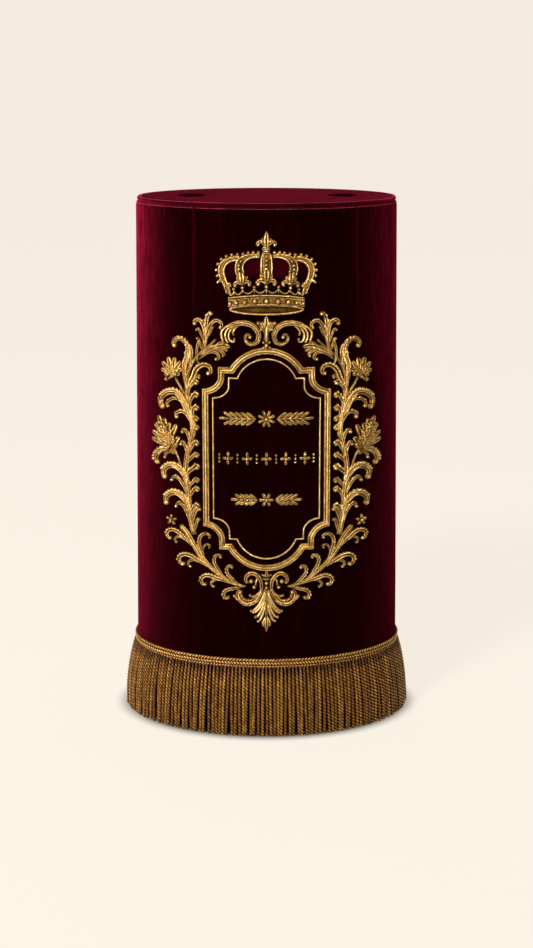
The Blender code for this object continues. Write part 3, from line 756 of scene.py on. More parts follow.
@dataclass(frozen=True)
class PileFinish(Finish):
    """Cotton velvet."""

    deep: tuple = (0.0028, 0.0001, 0.0002, 1)
    light: tuple = (0.0075, 0.0002, 0.0006, 1)
    streak: float = 1.0
    bright: float = 0.20
    # Colour of a painted sheen, blended into the base colour where the pile is seen at a low angle
    edge: tuple = (0, 0, 0, 1)
    sheen: float = 0.14
    sheen_rough: float = 0.34
    sheen_tint: tuple = (0.95, 0.045, 0.13, 1)
    bump: tuple = (0.8, 0.5 * MM)
    # A painted pool of light on the pile between the crown's arches: whether, where and its colour
    paints_lit_ground: bool = False
    lit_ground_place: tuple = (0.047, 0.609, 0.015)
    lit_ground: tuple = (0.026, 0.0005, 0.0024, 1)

    def paint(self) -> bpy.types.Material:
        """Makes the material.

        Returns:
            The material.
        """
        made, nodes, shader = self.begin()
        group = nodes.add("ShaderNodeGroup", node_tree=pile_group())
        nodes.feed(group, {"Deep": self.deep, "Light": self.light, "Streak": self.streak,
                           "Bright": self.bright})
        self.connect(nodes, shader, group, self.bump)
        if self.paints_lit_ground:
            self.brighten(nodes, shader, group)
        if self.edge[0]:
            self.lean(nodes, shader, group)
        nodes.feed(shader, {"Specular IOR Level": 0.0, "Sheen Weight": self.sheen,
                            "Sheen Roughness": self.sheen_rough, "Sheen Tint": self.sheen_tint})
        return made

    def lean(self, nodes: Nodes, shader: bpy.types.Node, group: bpy.types.Node) -> None:
        """Adds the streaked sheen of pile seen at a low angle, stronger toward the top.

        Args:
            nodes: node maker of the material.
            shader: Principled node.
            group: the pile group.
        """
        facing = nodes.add("ShaderNodeLayerWeight")
        facing.inputs["Blend"].default_value = 0.5
        low = nodes.ramp(facing.outputs["Facing"], 0.08, 1.04)
        spot = nodes.spot()
        streak = nodes.swing(nodes.noise(nodes.upright(spot, 0.10), 360.0, 4.0), 1.7, 0.20)
        streak.node.use_clamp = True
        grain = nodes.total(nodes.math("SUBTRACT", group.outputs["Height"], 0.95),
                            nodes.times(nodes.noise(spot, 900.0), 1.9))
        fade = nodes.ramp(nodes.axes(spot)[2], 0.10, 0.62, 0.20, False)
        share = nodes.times(nodes.times(low, nodes.times(streak, grain)), fade)
        share.node.use_clamp = True
        below = shader.inputs["Base Color"].links[0].from_socket
        nodes.join(nodes.blend(share, below, self.edge), shader.inputs["Base Color"])

    def brighten(self, nodes: Nodes, shader: bpy.types.Node, group: bpy.types.Node) -> None:
        """Paints light on the pile between the arches of the crown, where (x/a)^4 + ((z-m)/b)^4 is small.

        Args:
            nodes: node maker of the material.
            shader: Principled node.
            group: the pile group.
        """
        half, middle, high = self.lit_ground_place
        x, y, z = nodes.axes(nodes.spot())
        across = nodes.math("POWER", nodes.math("ABSOLUTE", nodes.math("DIVIDE", x, half)), 4.0)
        up = nodes.math("DIVIDE", nodes.math("SUBTRACT", z, middle), high)
        away = nodes.total(across, nodes.math("POWER", nodes.math("ABSOLUTE", up), 4.0))
        inside = nodes.times(nodes.ramp(away, 1.5, 0.1), nodes.math("LESS_THAN", y, 0.0))
        lit = nodes.blend(nodes.times(inside, 0.6), group.outputs["Color"], self.lit_ground)
        nodes.join(lit, shader.inputs["Base Color"])


@dataclass(frozen=True)
class FloorFinish(Finish):
    """A plain pale studio floor."""

    colour: tuple = (0.046, 0.0427, 0.0377, 1)
    shine: tuple = (1.0, 0.925, 0.812, 1)
    glow: float = 0.865
    covered: tuple = (0.202, 0.142)
    shadow: tuple = (0.004, 0.0035, 0.003, 1)

    def paint(self) -> bpy.types.Material:
        """Makes the material: it glows evenly, save in the oval under the mantle, where a shadow is painted.

        Returns:
            The material.
        """
        made, nodes, shader = self.begin()
        spot = nodes.spot()
        darker = tuple(value * 0.94 for value in self.colour[:3]) + (1,)
        x, y, _ = nodes.axes(spot)
        across, deep = (nodes.math("POWER", nodes.math("DIVIDE", part, half), 2.0)
                        for part, half in zip((x, y), self.covered))
        # Painted shadow: the glow fades to the shadow colour in the oval under the mantle
        open_floor = nodes.ramp(nodes.math("SQRT", nodes.total(across, deep)), 0.86, 1.04)
        nodes.feed(shader, {
            "Base Color": nodes.blend(nodes.times(nodes.noise(spot, 3.0), 0.06), self.colour, darker),
            "Roughness": 0.9,
            "Specular IOR Level": 0.1,
            "Emission Color": nodes.blend(open_floor, self.shadow, self.shine),
            "Emission Strength": self.glow,
        })
        return made


# The wall velvet: painted sheen at low angles and painted light between the crown's arches
VELVET = PileFinish("burgundy velvet", "velvet", edge=(0.31, 0.008, 0.034, 1), paints_lit_ground=True)
# A lighter copy of the wall's velvet: the board's top painted lighter, as lit from above
LIT_VELVET_TOP = PileFinish("lit burgundy velvet on the board", "velvet_top", deep=(0.008, 0.0003, 0.0009, 1),
                        light=(0.024, 0.001, 0.003, 1), streak=0.6, bright=0.4, sheen=0.16)
# A lighter copy of the wall's velvet for the cord, painted lighter as lit at the top rim
LIT_VELVET_CORD = PileFinish("lit burgundy velvet over cord", "velvet_piping", deep=(0.008, 0.0002, 0.0008, 1),
                         light=(0.045, 0.001, 0.005, 1), streak=0.3, bright=0.3, sheen=0.6)
# Bright velvet for painted sheen lines on the piping's crest and on the seam roll
SHEEN_LINE_VELVET = PileFinish("painted sheen line on velvet", "velvet_piping", deep=(0.05, 0.005, 0.011, 1),
                          light=(0.26, 0.034, 0.070, 1), streak=0.9, bright=0.4, sheen=0.4)
# Both gold finishes paint shade in the recesses and highlights on the crests
GOLD = ThreadFinish("gold bullion thread", "gold_embroidery")
FRINGE_GOLD = ThreadFinish("antique gold cord", "fringe_gold", recess_shade=(0.040, 0.009, 0.0003, 1),
                           middle=(0.66, 0.300, 0.026, 1), crest_highlight=(1.0, 0.72, 0.32, 1), metal=0.62,
                           pitch=0.7 * MM, slant=1.4, bump=(0.5, 0.2 * MM))
FLOOR = FloorFinish("pale floor", "")


def dress(piece: bpy.types.Object, slot: str, *nodes: str) -> bpy.types.Object:
    """Makes a piece ride on the one body and stand for CAD nodes.

    Args:
        piece: the finished object.
        slot: material slot; not used.
        nodes: CAD nodes that it stands for.

    Returns:
        The piece.
    """
    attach(piece, "root")
    if nodes:
        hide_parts(*nodes)
    return piece


@dataclass
class VelvetWall:
    """The oval velvet tube, with its pressed creases, slight waves and gathered top."""

    columns: int = 480
    rows: int = 96
    inner_rows: int = 12
    top: float = HEIGHT - 5.4 * MM
    shoulder: float = 8.0 * MM
    shoulder_inset: float = 2.7 * MM
    # Each crease: place across, height and where it starts
    creases: tuple = ((-88 * MM, 0.9 * MM, 0.520), (110 * MM, 0.8 * MM, 0.522))
    crease_width: float = math.radians(0.75)
    wave: float = 0.22 * MM
    gather: float = 0.22 * MM
    gathers: int = 118
    girth: float = 0.9

    def swell(self, angle: np.ndarray, z: np.ndarray) -> np.ndarray:
        """How far the cloth stands off the plain oval.

        Args:
            angle: turns from the middle of the front.
            z: heights in metres.

        Returns:
            Offsets in metres: waves of a few tenths of a millimetre, ridges and gathers.
        """
        found = np.zeros(np.broadcast(angle, z).shape)
        for x, ridge, foot in self.creases:
            middle = math.asin(x / TOP_HALF_WIDTH)
            away = (angle - middle) / self.crease_width
            found = found + ridge * np.exp(-away ** 2) * smooth((z - foot) / 0.060)
        plain = 0.25 + 0.75 * smooth((np.abs(angle) - 0.9) / 0.5)
        waves = np.sin(9 * angle + 3 * z) + 0.6 * np.sin(17 * angle + 1.3 - 5 * z)
        waves = waves + 0.4 * np.sin(29 * angle + 2.0)
        found = found + self.wave * plain * waves * smooth(z / 0.2)
        gather = np.sin(self.gathers * angle + 2 * np.sin(5 * angle)) * (0.5 + 0.5 * np.sin(7 * angle + 1))
        found = found + self.gather * gather * smooth((z - self.top + 0.022) / 0.020)
        rise = np.clip((z - self.top) / self.shoulder + 1, 0, 1)
        return found - self.shoulder_inset * (1 - np.sqrt(1 - rise ** 2 * 0.98))

    def ridge_mask(self, angle: np.ndarray, z: np.ndarray) -> np.ndarray:
        """Where a crease catches the light.

        Args:
            angle: turns from the middle of the front.
            z: heights in metres.

        Returns:
            Shares from 0 to 1.
        """
        found = np.zeros(np.broadcast(angle, z).shape)
        for x, ridge, foot in self.creases:
            middle = math.asin(x / TOP_HALF_WIDTH)
            away = (angle - middle) / (self.crease_width * 0.8)
            found = found + np.exp(-away ** 2) * smooth((z - foot) / 0.10) * ridge / (0.9 * MM)
        return found

    def build(self) -> bpy.types.Object:
        """Makes the tube: up the outside, over the top edge, down the inside and round the hem.

        Returns:
            The velvet wall.
        """
        angle = np.linspace(-np.pi, np.pi, self.columns, endpoint=False)[None, :]
        low = np.linspace(2.0 * MM, self.top - 1.2 * self.shoulder, self.rows - 16)
        high = np.linspace(self.top - 1.2 * self.shoulder, self.top - 0.6 * MM, 17)[1:]
        up = np.concatenate([low, high])[:, None]
        outside = around(angle, up, self.swell(angle, up))
        rounding = [(0.15 * MM, self.top - 0.2 * MM), (0.6 * MM, self.top), (1.4 * MM, self.top),
                    (1.85 * MM, self.top - 0.2 * MM)]
        over = [around(angle, z, self.swell(angle, np.array([[z]])) - inset) for inset, z in rounding]
        down = np.linspace(self.top - 0.6 * MM, 2.0 * MM, self.inner_rows)[:, None]
        inside = around(angle, down, self.swell(angle, down) - CLOTH)
        hem = [(1.85 * MM, 0.7 * MM), (1.4 * MM, 0.1 * MM), (0.6 * MM, 0.1 * MM), (0.15 * MM, 0.7 * MM)]
        under = [around(angle, z, -inset) for inset, z in hem]
        points = np.concatenate([outside] + over + [inside] + under)
        lengths = (angle + np.pi) / (2 * np.pi) * self.girth
        uv = np.stack(np.broadcast_arrays(lengths, points[..., 2]), axis=-1)
        relief = Relief()
        # Painted highlight along the creases, carried by the relief attribute
        mask = np.zeros(points.shape[:2])
        mask[:self.rows] = self.ridge_mask(angle, up)
        relief.rings(points[:, ::-1], uv[:, ::-1], mask[:, ::-1], cyclic=True)
        return relief.make("velvet_wall", VELVET)


@dataclass
class Rim:
    """The covered cord round the top, and the seam line under it."""

    radius: float = 3.1 * MM
    inset: float = 4.1 * MM
    columns: int = 420
    sides: int = 18

    def tube(self, name: str, inset: float, z: float, radius: float, finish: Finish,
             pucker: float) -> bpy.types.Object:
        """A closed tube round the oval.

        Args:
            name: name of the piece.
            inset: how far its middle lies inside the top's edge, in metres.
            z: height of its middle.
            radius: radius of its section.
            finish: finish of the piece.
            pucker: depth of the small gathers, as a share of the radius.

        Returns:
            The tube.
        """
        turn = np.linspace(0, 2 * np.pi, self.columns, endpoint=False)[:, None]
        width, depth = TOP_HALF_WIDTH - inset, TOP_HALF_DEPTH - inset
        normal = np.stack([np.cos(turn) / width, np.sin(turn) / depth], axis=-1)
        normal /= np.linalg.norm(normal, axis=-1)[..., None]
        phase = np.linspace(0, 2 * np.pi, self.sides, endpoint=False)[None, :]
        gathers = np.sin(131 * turn + 3 * np.sin(4 * turn)) * (0.6 + 0.4 * np.sin(9 * turn))
        size = radius * (1 - pucker + pucker * gathers)
        out = size * np.cos(phase)
        x = width * np.cos(turn) + normal[..., 0] * out
        y = depth * np.sin(turn) + normal[..., 1] * out
        points = np.stack([x, y, z + size * np.sin(phase)], axis=-1)
        uv = np.stack(np.broadcast_arrays(turn * width, phase * radius), axis=-1)
        relief = Relief()
        relief.rings(points[:, ::-1], uv[:, ::-1], np.zeros(points.shape[:2]), cyclic=True)
        return relief.make(name, finish)

    def build(self) -> list:
        """Makes the piping, a thin tube of painted sheen along its crest and the seam roll, also painted as a
        sheen line.

        Returns:
            The three pieces, the piping first.
        """
        return [
            self.tube("top_cord", self.inset, HEIGHT - self.radius, self.radius, LIT_VELVET_CORD, 0.035),
            # A thin bright tube on the piping's crest: a painted sheen line
            self.tube("top_sheen_line", self.inset - 1.5 * MM, HEIGHT - 0.50 * MM, 0.42 * MM, SHEEN_LINE_VELVET, 0.18),
            # The seam roll, in the bright velvet: painted sheen along the seam
            self.tube("top_seam", 0.72 * MM, HEIGHT - 7.4 * MM, 0.48 * MM, SHEEN_LINE_VELVET, 0.18),
        ]


@dataclass
class TopPanel:
    """The velvet-covered board with its two roller holes."""

    inset: float = 7.3 * MM
    thick: float = 5 * MM
    hole: float = 19 * MM
    spacing: float = 190 * MM
    columns: int = 144
    steps: int = 14
    roll: float = 1.4 * MM
    ripple: float = 0.12 * MM
    weld: float = 0.001 * MM

    def rays(self) -> tuple:
        """Rays from the middle of the right hole, out to the oval or to the middle line.

        With m the hole's middle and c, s the ray's direction, the oval is ((m+rc)/w)^2 + (rs/d)^2 = 1.

        Returns:
            Cosines, sines, lengths, and whether each ray ends on the middle line.
        """
        width, depth, middle = TOP_HALF_WIDTH - self.inset, TOP_HALF_DEPTH - self.inset, self.spacing / 2
        corner = math.atan2(depth, -middle)
        even = np.linspace(-np.pi, np.pi, self.columns, endpoint=False)
        turn = np.sort(np.concatenate([even, [corner, -corner]]))
        c, s = np.cos(turn), np.sin(turn)
        a, b, k = (c / width) ** 2 + (s / depth) ** 2, middle * c / width ** 2, (middle / width) ** 2 - 1
        oval = (-b + np.sqrt(b * b - a * k)) / a
        straight = np.where(c < -1e-6, middle / np.maximum(-c, 1e-6), 9.0)
        return c, s, np.minimum(oval, straight), straight < oval - 1e-7

    def half(self) -> tuple:
        """The right half: rings from the board's foot up through the hole and out over its top.

        Returns:
            Points as rings by rays by 3, and whether each ray ends on the middle line.
        """
        c, s, edge, inner = self.rays()
        top, foot, hole = HEIGHT, HEIGHT - self.thick, self.hole
        first = hole + 1.9 * MM
        rows = [(edge, foot), (hole, foot), (hole - 0.1 * MM, foot + 0.6 * MM),
                (hole - 0.1 * MM, top - 1.7 * MM), (hole + 0.25 * MM, top - 0.75 * MM),
                (hole + 0.9 * MM, top - 0.2 * MM), (first, top)]
        rows += [(first + (edge - self.roll - first) * share, top)
                 for share in np.linspace(0, 1, self.steps)[1:-1]]
        rows += [(edge - self.roll, top), (edge - 0.45 * MM, np.where(inner, top, top - 0.35 * MM)),
                 (edge, np.where(inner, top, top - 1.25 * MM))]
        reach = np.stack([np.broadcast_to(r, c.shape) for r, _ in rows])
        z = np.stack([np.broadcast_to(h, c.shape) for _, h in rows]).astype(float)
        x, y = self.spacing / 2 + reach * c, reach * s
        flat_part = (np.arange(len(rows)) > 5)[:, None] & ~np.isclose(reach, edge)
        ripple = np.where(flat_part, self.ripple * np.sin(70 * x) * np.sin(90 * y), 0.0)
        return np.stack([x, y, z + ripple * smooth((edge - reach) / 0.01)], axis=-1), inner

    def build(self) -> bpy.types.Object:
        """Joins the right half and its mirror image where they meet.

        Returns:
            The covered board.
        """
        points, inner = self.half()
        quads = ring_quads(*points.shape[:2])
        outer = np.ones(quads.shape[:2], bool)
        outer[-1] = ~(inner | np.roll(inner, -1))
        quads = quads[outer]
        points = points.reshape(-1, 3)
        whole = np.concatenate([points, points * (-1, 1, 1)])
        faces = np.concatenate([quads, quads[:, ::-1] + len(points)])
        cells = np.round(whole / self.weld).astype(np.int64)
        _, kept, places = np.unique(cells, axis=0, return_index=True, return_inverse=True)
        whole, faces = whole[kept], places.ravel()[faces]
        mesh = bpy.data.meshes.new("covered_top")
        mesh.from_pydata(whole.tolist(), [], faces.tolist())
        # Painted shade: the velvet darkens where the board turns down, in the roller holes and round its edge
        turned_edge_shade = np.clip((whole[:, 2] - HEIGHT + 0.3 * MM) / (0.6 * MM), -1, 0)
        mesh.attributes.new("relief", "FLOAT", "POINT").data.foreach_set("value", turned_edge_shade.astype(np.float32))
        made = stand("covered_top", mesh, LIT_VELVET_TOP)
        mesh.set_sharp_from_angle(angle=math.radians(50))
        return made


@dataclass
class Fringe:
    """The corded heading and the twisted strands."""

    strands: int = 190
    parts: int = 4
    rings: int = 88
    sides: int = 8
    thick: float = 2.0 * MM
    pitch: float = 8.8 * MM
    foot: float = 0.0912
    tip_rings: tuple = (0.986, 0.992, 0.997, 1.0)

    @staticmethod
    def even_angles(z: float, count: int) -> np.ndarray:
        """Angles round the wall at equal steps of length.

        Args:
            z: height in metres.
            count: number of steps.

        Returns:
            Angles, the first at the middle of the front.
        """
        fine = np.linspace(0, 2 * np.pi, 5761)
        width, depth = half_axes(z)
        between = (fine[1:] + fine[:-1]) / 2
        lengths = np.concatenate([[0], np.cumsum(np.hypot(width * np.cos(between), depth * np.sin(between)))])
        return np.interp(np.linspace(0, lengths[-1], count, endpoint=False), lengths, fine)

    def rope(self, name: str, z: float, radius: float, bump_pitch: float, hand: int,
             flat: float) -> bpy.types.Object:
        """A two-ply rope laid round the foot of the wall; its radius is r (1 + 0.3 cos 2(p - t)).

        Args:
            name: name of the piece.
            z: height of its middle.
            radius: mean radius.
            bump_pitch: distance from bump to bump.
            hand: +1 or -1, which way it is laid.
            flat: depth of its section as a share of its height.

        Returns:
            The rope.
        """
        width, depth = half_axes(z)
        total = math.pi * (3 * (width + depth) - math.sqrt((3 * width + depth) * (width + 3 * depth)))
        bumps = round(total / bump_pitch)
        angle = self.even_angles(z, bumps * 9)[:, None]
        along = np.linspace(0, 1, bumps * 9, endpoint=False)[:, None]
        phase = np.linspace(0, 2 * np.pi, 10, endpoint=False)[None, :]
        lay = np.cos(2 * phase - hand * 2 * np.pi * bumps * along)
        size = radius * (1 + 0.30 * lay)
        out = flat * radius + 0.3 * MM + flat * size * np.cos(phase)
        points = around(angle, z + size * np.sin(phase), out)
        uv = np.stack(np.broadcast_arrays(along * total, phase * radius), axis=-1)
        relief = Relief()
        shade = (0.02 + 1.1 * (0.5 + 0.5 * lay)) * (0.15 + 0.85 * (0.5 + 0.5 * np.cos(phase)) ** 1.5)
        relief.rings(points[:, ::-1], uv[:, ::-1], shade[:, ::-1], cyclic=True)
        return relief.make(name, FRINGE_GOLD)

    def backing(self) -> bpy.types.Object:
        """The woven tape behind the ropes, from which the strands hang.

        Returns:
            The piece.
        """
        angle = self.even_angles(0.096, 360)[:, None]
        section = np.array([(0.05, 89.8), (1.5, 89.4), (2.2, 90.4), (2.0, 93.0), (1.6, 98.0), (1.2, 101.0),
                            (0.05, 101.4)]) * MM
        points = around(angle, section[None, :, 1], section[None, :, 0])
        uv = np.stack(np.broadcast_arrays(angle * 0.15, section[None, :, 1]), axis=-1)
        relief = Relief()
        # The tape is painted in shade behind the ropes: a low value on the shade ramp
        relief.rings(points, uv, np.full(points.shape[:2], 0.15), cyclic=True)
        return relief.make("fringe_tape", FRINGE_GOLD)

    def strand_group(self, name: str, numbers: np.ndarray) -> bpy.types.Object:
        """A run of strands: each a two-ply cord that splays out, strays and rests near the floor.

        Args:
            name: name of the piece.
            numbers: numbers of the strands in it.

        Returns:
            The strands as one object.
        """
        start = self.even_angles(self.foot, self.strands)[numbers][:, None, None]
        number = numbers[:, None, None].astype(float)
        share = np.concatenate([np.linspace(0, 0.98, self.rings - 4), self.tip_rings])[None, :, None]
        tip = (0.9 + 0.8 * np.abs(wander(number, 2))) * MM
        z = self.foot + (tip - self.foot) * share
        splay = 2.6 * MM + 10.6 * MM * (1 - (1 - share) ** 2.4)
        stray = 0.9 * MM * wander(number, 3) * share + 0.5 * MM * np.sin(5 * share + number * 1.7) * share
        bunch = 1.3 * MM * np.sin(number * 0.83 + 0.7 * np.sin(number * 0.21)) + 1.2 * MM * wander(number, 1)
        sway = bunch * share ** 1.3 + 0.55 * MM * np.sin(3.6 * share + number * 2.9) * share
        phase = np.linspace(0, 2 * np.pi, self.sides, endpoint=False)[None, None, :]
        turns = 2 * np.pi * (self.foot - tip) * share / self.pitch + number
        lay = np.cos(2 * (phase - turns))
        ends = np.sqrt(1 - np.clip((share - 0.978) / 0.0225, 0, 1) ** 2)
        thick = self.thick * (0.93 + 0.10 * wander(number, 5)) * (0.82 + 0.18 * smooth(share * 4))
        size = thick * (1 + 0.30 * lay) * ends
        out = splay + stray + size * np.cos(phase)
        width, depth = half_axes(z)
        run = np.hypot(width * np.cos(start), depth * np.sin(start))
        angle = start + (sway + size * np.sin(phase)) / run
        points = around(angle, z, out)
        shade = (0.02 + 1.1 * (0.5 + 0.5 * lay)) * (0.35 + 0.65 * (0.5 + 0.5 * np.cos(phase)))
        shade = shade * (0.85 + 0.15 * wander(number, 6)) * (0.7 + 0.3 * smooth(share * 6))
        uv = np.stack(np.broadcast_arrays(self.foot - z, phase * self.thick), axis=-1)
        relief = Relief()
        for k in range(len(numbers)):
            relief.rings(points[k][:, ::-1], uv[k][:, ::-1], shade[k][:, ::-1])
        return relief.make(name, FRINGE_GOLD)

    def build(self) -> list:
        """Makes the tape, three ropes and the strands.

        Returns:
            All pieces, those that stand for the CAD fringe among them.
        """
        pieces = [
            self.backing(),
            self.rope("fringe_rope_high", 0.1006, 1.6 * MM, 4.2 * MM, 1, 0.95),
            self.rope("fringe_rope_middle", 0.0960, 1.5 * MM, 4.0 * MM, -1, 0.95),
            self.rope("fringe_rope_low", 0.0920, 1.1 * MM, 3.8 * MM, 1, 0.95),
        ]
        every = np.arange(self.strands)
        for part, numbers in enumerate(np.array_split(every, self.parts)):
            pieces.append(self.strand_group(f"fringe_strands_{part + 1}", numbers))
        return pieces


@dataclass
class Stem:
    """A stem's path with its length, for finding places along it."""

    path: np.ndarray

    def __post_init__(self) -> None:
        """Measures the path."""
        steps = np.linalg.norm(np.diff(self.path, axis=0), axis=1)
        self.lengths = np.concatenate([[0.0], np.cumsum(steps)])
        self.turns = headings(self.path)

    @property
    def length(self) -> float:
        """Whole length in millimetres."""
        return float(self.lengths[-1])

    def at(self, distance: Number) -> np.ndarray:
        """Places at distances along the stem."""
        return np.stack([np.interp(distance, self.lengths, self.path[:, k]) for k in (0, 1)], axis=-1)

    def heading(self, distance: Number) -> Number:
        """Directions of travel at distances along the stem."""
        return np.interp(distance, self.lengths, self.turns)


@dataclass(frozen=True)
class Frond:
    """One frond of a branch, in millimetres and degrees."""

    at: float
    long: float
    wide: float
    lean: float
    curl: float
    twin: bool = True

    @property
    def growth(self) -> Growth:
        """What kind of frond it is."""
        if self.wide <= 3:
            return Growth.STALK
        return Growth.LEAFLET if self.long < 24 else Growth.CURLED


class Embroidery(Relief):
    """A relief that knows the recurring motifs."""

    def sewn(self, name: str, node: str) -> bpy.types.Object:
        """Makes the gold piece and dresses it.

        Args:
            name: name of the piece.
            node: CAD node that it stands for.

        Returns:
            The piece.
        """
        return dress(self.make(name, GOLD), GOLD.slot, node)

    def lobes(self, path: np.ndarray, wide: float, side: float, shares: Knots | tuple, size: float,
              spread: float) -> None:
        """Feathers one edge of a leaf with short overlapping lobes.

        Args:
            path: middle line of the leaf.
            wide: width of the leaf.
            side: +1 for lobes left of travel, -1 for the other edge.
            shares: where they start along the leaf.
            size: factor on their length.
            spread: angle at which they leave the middle line, in degrees.
        """
        turns = headings(path)
        places = np.linspace(0, 1, len(path))
        for share in shares:
            start = np.array([np.interp(share, places, path[:, k]) for k in (0, 1)])
            turn = np.interp(share, places, turns)
            swell = 0.62 + 0.38 * math.sin(math.pi * min(1.0, share * 1.15))
            long = wide * 0.92 * size * swell
            t = np.linspace(0, 1, 8)
            bend = turn + side * np.radians(spread * (1.2 - 1.0 * t))
            line = start + unit(turn + side * np.pi / 2) * wide * 0.14
            line = line + np.cumsum(unit(bend) * long / 8, axis=0)
            self.blade(line, Cut(wide * 0.50 * size, 2.5, 1, 0.5, 0.66, 0.72, 0.25, columns=5))

    def leaf(self, path: np.ndarray, wide: float, side: float) -> None:
        """Draws an acanthus frond: a ribbed body, a feathered outer edge and a ball at its tip.

        Args:
            path: middle line, in millimetres.
            wide: width at its widest.
            side: side to which it curls, +1 left of travel.
        """
        ribs = 3 if wide > 7.2 else 2
        self.blade(path, Cut(wide * 1.10, 2.4, ribs, 0.30, 0.60, 0.72, groove=0.75, columns=6))
        count = max(4, round(path_length(path) / 6.0))
        self.lobes(path, wide, -side, np.linspace(0.22, 0.80, count), 1.0, 20)
        self.lobes(path, wide, side, np.linspace(0.34, 0.56, max(2, count - 4)), 0.75, 24)
        self.knob(path, wide * 0.46, side, 3.0)

    def sprig(self, points: Knots, wide: float, ribs: int, curl: int) -> None:
        """Draws a small leaf laid from given knots.

        Args:
            points: knots of its middle line.
            wide: its width.
            ribs: number of ribs.
            curl: side of its curl, or 0 for a straight tip.
        """
        path = curve_through(points)
        if ribs > 3:
            self.leaf(path, wide, curl)
            return
        self.blade(path, Cut(wide, 2.5, 2, 0.36, 0.66, 0.8, 0.1, groove=0.7, columns=7))
        if ribs > 2:
            self.lobes(path, wide, -curl or 1, np.linspace(0.36, 0.72, 3), 0.9, 24)
        if curl:
            self.knob(path, wide * 0.46, curl, 3.4)

    def frond(self, stem: Stem, row: Frond, side: int, root_width: float) -> None:
        """Draws one frond out of its stem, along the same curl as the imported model.

        Args:
            stem: the stem.
            row: sizes of the frond.
            side: +1 for the left of travel, -1 for the right.
            root_width: width of the stem's root.
        """
        segment = stem.length / max(2, round(stem.length / STEM_STEP))
        number = min(round(stem.length / segment) - 1, int(row.at / segment))
        begin = (number + 0.5) * segment
        clear = (root_width + row.wide) / 2 + FROND_CLEAR
        travel = float(stem.heading(number * segment))
        start = stem.at(begin) + unit(stem.heading(begin) + side * np.pi / 2) * clear
        count = max(10, int(row.long / 1.2))
        share = (np.arange(count) + 0.5) / count
        turn = travel + side * np.radians(row.lean + row.curl * share ** CURL_TIGHTENS)
        arc = start + np.cumsum(unit(turn) * row.long / count, axis=0)
        run = min(begin, clear * 1.7 / math.tan(math.radians(max(row.lean, 12) + 8)))
        root_share = np.linspace(0, 1, max(5, int(run / 1.5)))[:-1]
        places = begin - run + run * root_share
        aside = unit(stem.heading(places) + side * np.pi / 2) * (clear * root_share[:, None] ** 1.7)
        whole = np.vstack([stem.at(places) + aside, start[None], arc])
        for _ in range(4):
            whole[1:-1] = (whole[:-2] + 2 * whole[1:-1] + whole[2:]) / 4
        self.grown(evenly(whole, len(whole)), row, side)

    def grown(self, path: np.ndarray, row: Frond, side: int) -> None:
        """Draws a frond of its kind along a path.

        Args:
            path: its middle line.
            row: its sizes.
            side: side of its curl, +1 left of travel.
        """
        kind = row.growth
        if kind is Growth.STALK:
            self.blade(path, Cut(3.0, 1.8, 2, 0.6, 0.4, 0.8, groove=0.35))
        elif kind is Growth.LEAFLET:
            self.blade(path, Cut(row.wide * 1.35, 2.2, 2, 0.3, 0.70, 0.85, groove=0.55))
            self.lobes(path, row.wide * 1.2, side, (0.40, 0.54), 0.75, 24)
            self.knob(path, row.wide * 0.56, side, 3.0)
        else:
            self.leaf(path, row.wide, side)
            if row.twin and row.long >= 36:
                self.companion(path, row.wide, side)

    def companion(self, path: np.ndarray, wide: float, side: int) -> None:
        """Draws a second, smaller curl that leaves a long frond on its hollow side.

        Args:
            path: middle line of the long frond.
            wide: width of the long frond.
            side: side of its curl, +1 left of travel.
        """
        turns = headings(path)
        places = np.linspace(0, 1, len(path))
        start = np.array([np.interp(0.36, places, path[:, k]) for k in (0, 1)])
        turn = np.interp(0.36, places, turns)
        long = path_length(path) * 0.33
        t = (np.arange(20) + 0.5) / 20
        bend = turn + side * np.radians(10 + 215 * t ** 1.9)
        line = start + unit(turn + side * np.pi / 2) * wide * 0.34
        line = line + np.cumsum(unit(bend) * long / 20, axis=0)
        self.blade(line, Cut(wide * 0.66, 2.2, 2, 0.4, 0.5, 0.75, groove=0.5))
        self.lobes(line, wide * 0.6, side, (0.34, 0.48), 0.8, 30)
        self.knob(line, wide * 0.33, side, 3.0)

    def petal(self, start: Knots | tuple, angle: float, long: float, wide: float, lift: float = 0.0,
              bend: float = 0.0, high: float = 2.4) -> np.ndarray:
        """Draws a rounded petal with a groove down its middle.

        Args:
            start: its root.
            angle: its direction in degrees, 90 is up.
            long: its length.
            wide: its width.
            lift: height of its foot over the cloth.
            bend: degrees by which it turns on its way.
            high: height of its crest.

        Returns:
            Its middle line.
        """
        t = np.linspace(0, 1, 9)
        turn = np.radians(angle + bend * t ** 1.5)
        line = np.vstack([[start], np.asarray(start) + np.cumsum(unit(turn) * long / 9, axis=0)])
        self.blade(line, Cut(wide, high, 2, 0.45, 0.62, 0.62, lift, groove=0.30))
        return line

    def rosette(self, x: float, z: float, radius: float, petals: int, turn: float = 0.0) -> None:
        """Draws a round flower with a bead in its middle.

        Args:
            x: place across.
            z: place up.
            radius: half width of the flower.
            petals: number of petals.
            turn: direction of the first petal in degrees.
        """
        for k in range(petals):
            angle = turn + 360 * k / petals
            place = np.array([x, z]) + unit(math.radians(angle)) * radius * 0.18
            self.petal(place, angle, radius * 0.82, radius * 2.5 / petals ** 0.9)
        self.bead(x, z, radius * 0.26, 3.0, 0.6)

    def line(self, points: Knots, width: float, high: float, ends: float = 0.8) -> None:
        """Draws an even cord of stitching.

        Args:
            points: knots of its middle line.
            width: its width.
            high: its height.
            ends: width of its ends as a share of its width.
        """
        self.blade(curve_through(points), Cut(width, high, 1, ends, 0.5, ends, groove=0.4))


def mirrored(points: Knots, side: Side) -> list:
    """A table of the left half, turned to the wanted side."""
    return [(x * side.value, z) for x, z in points]


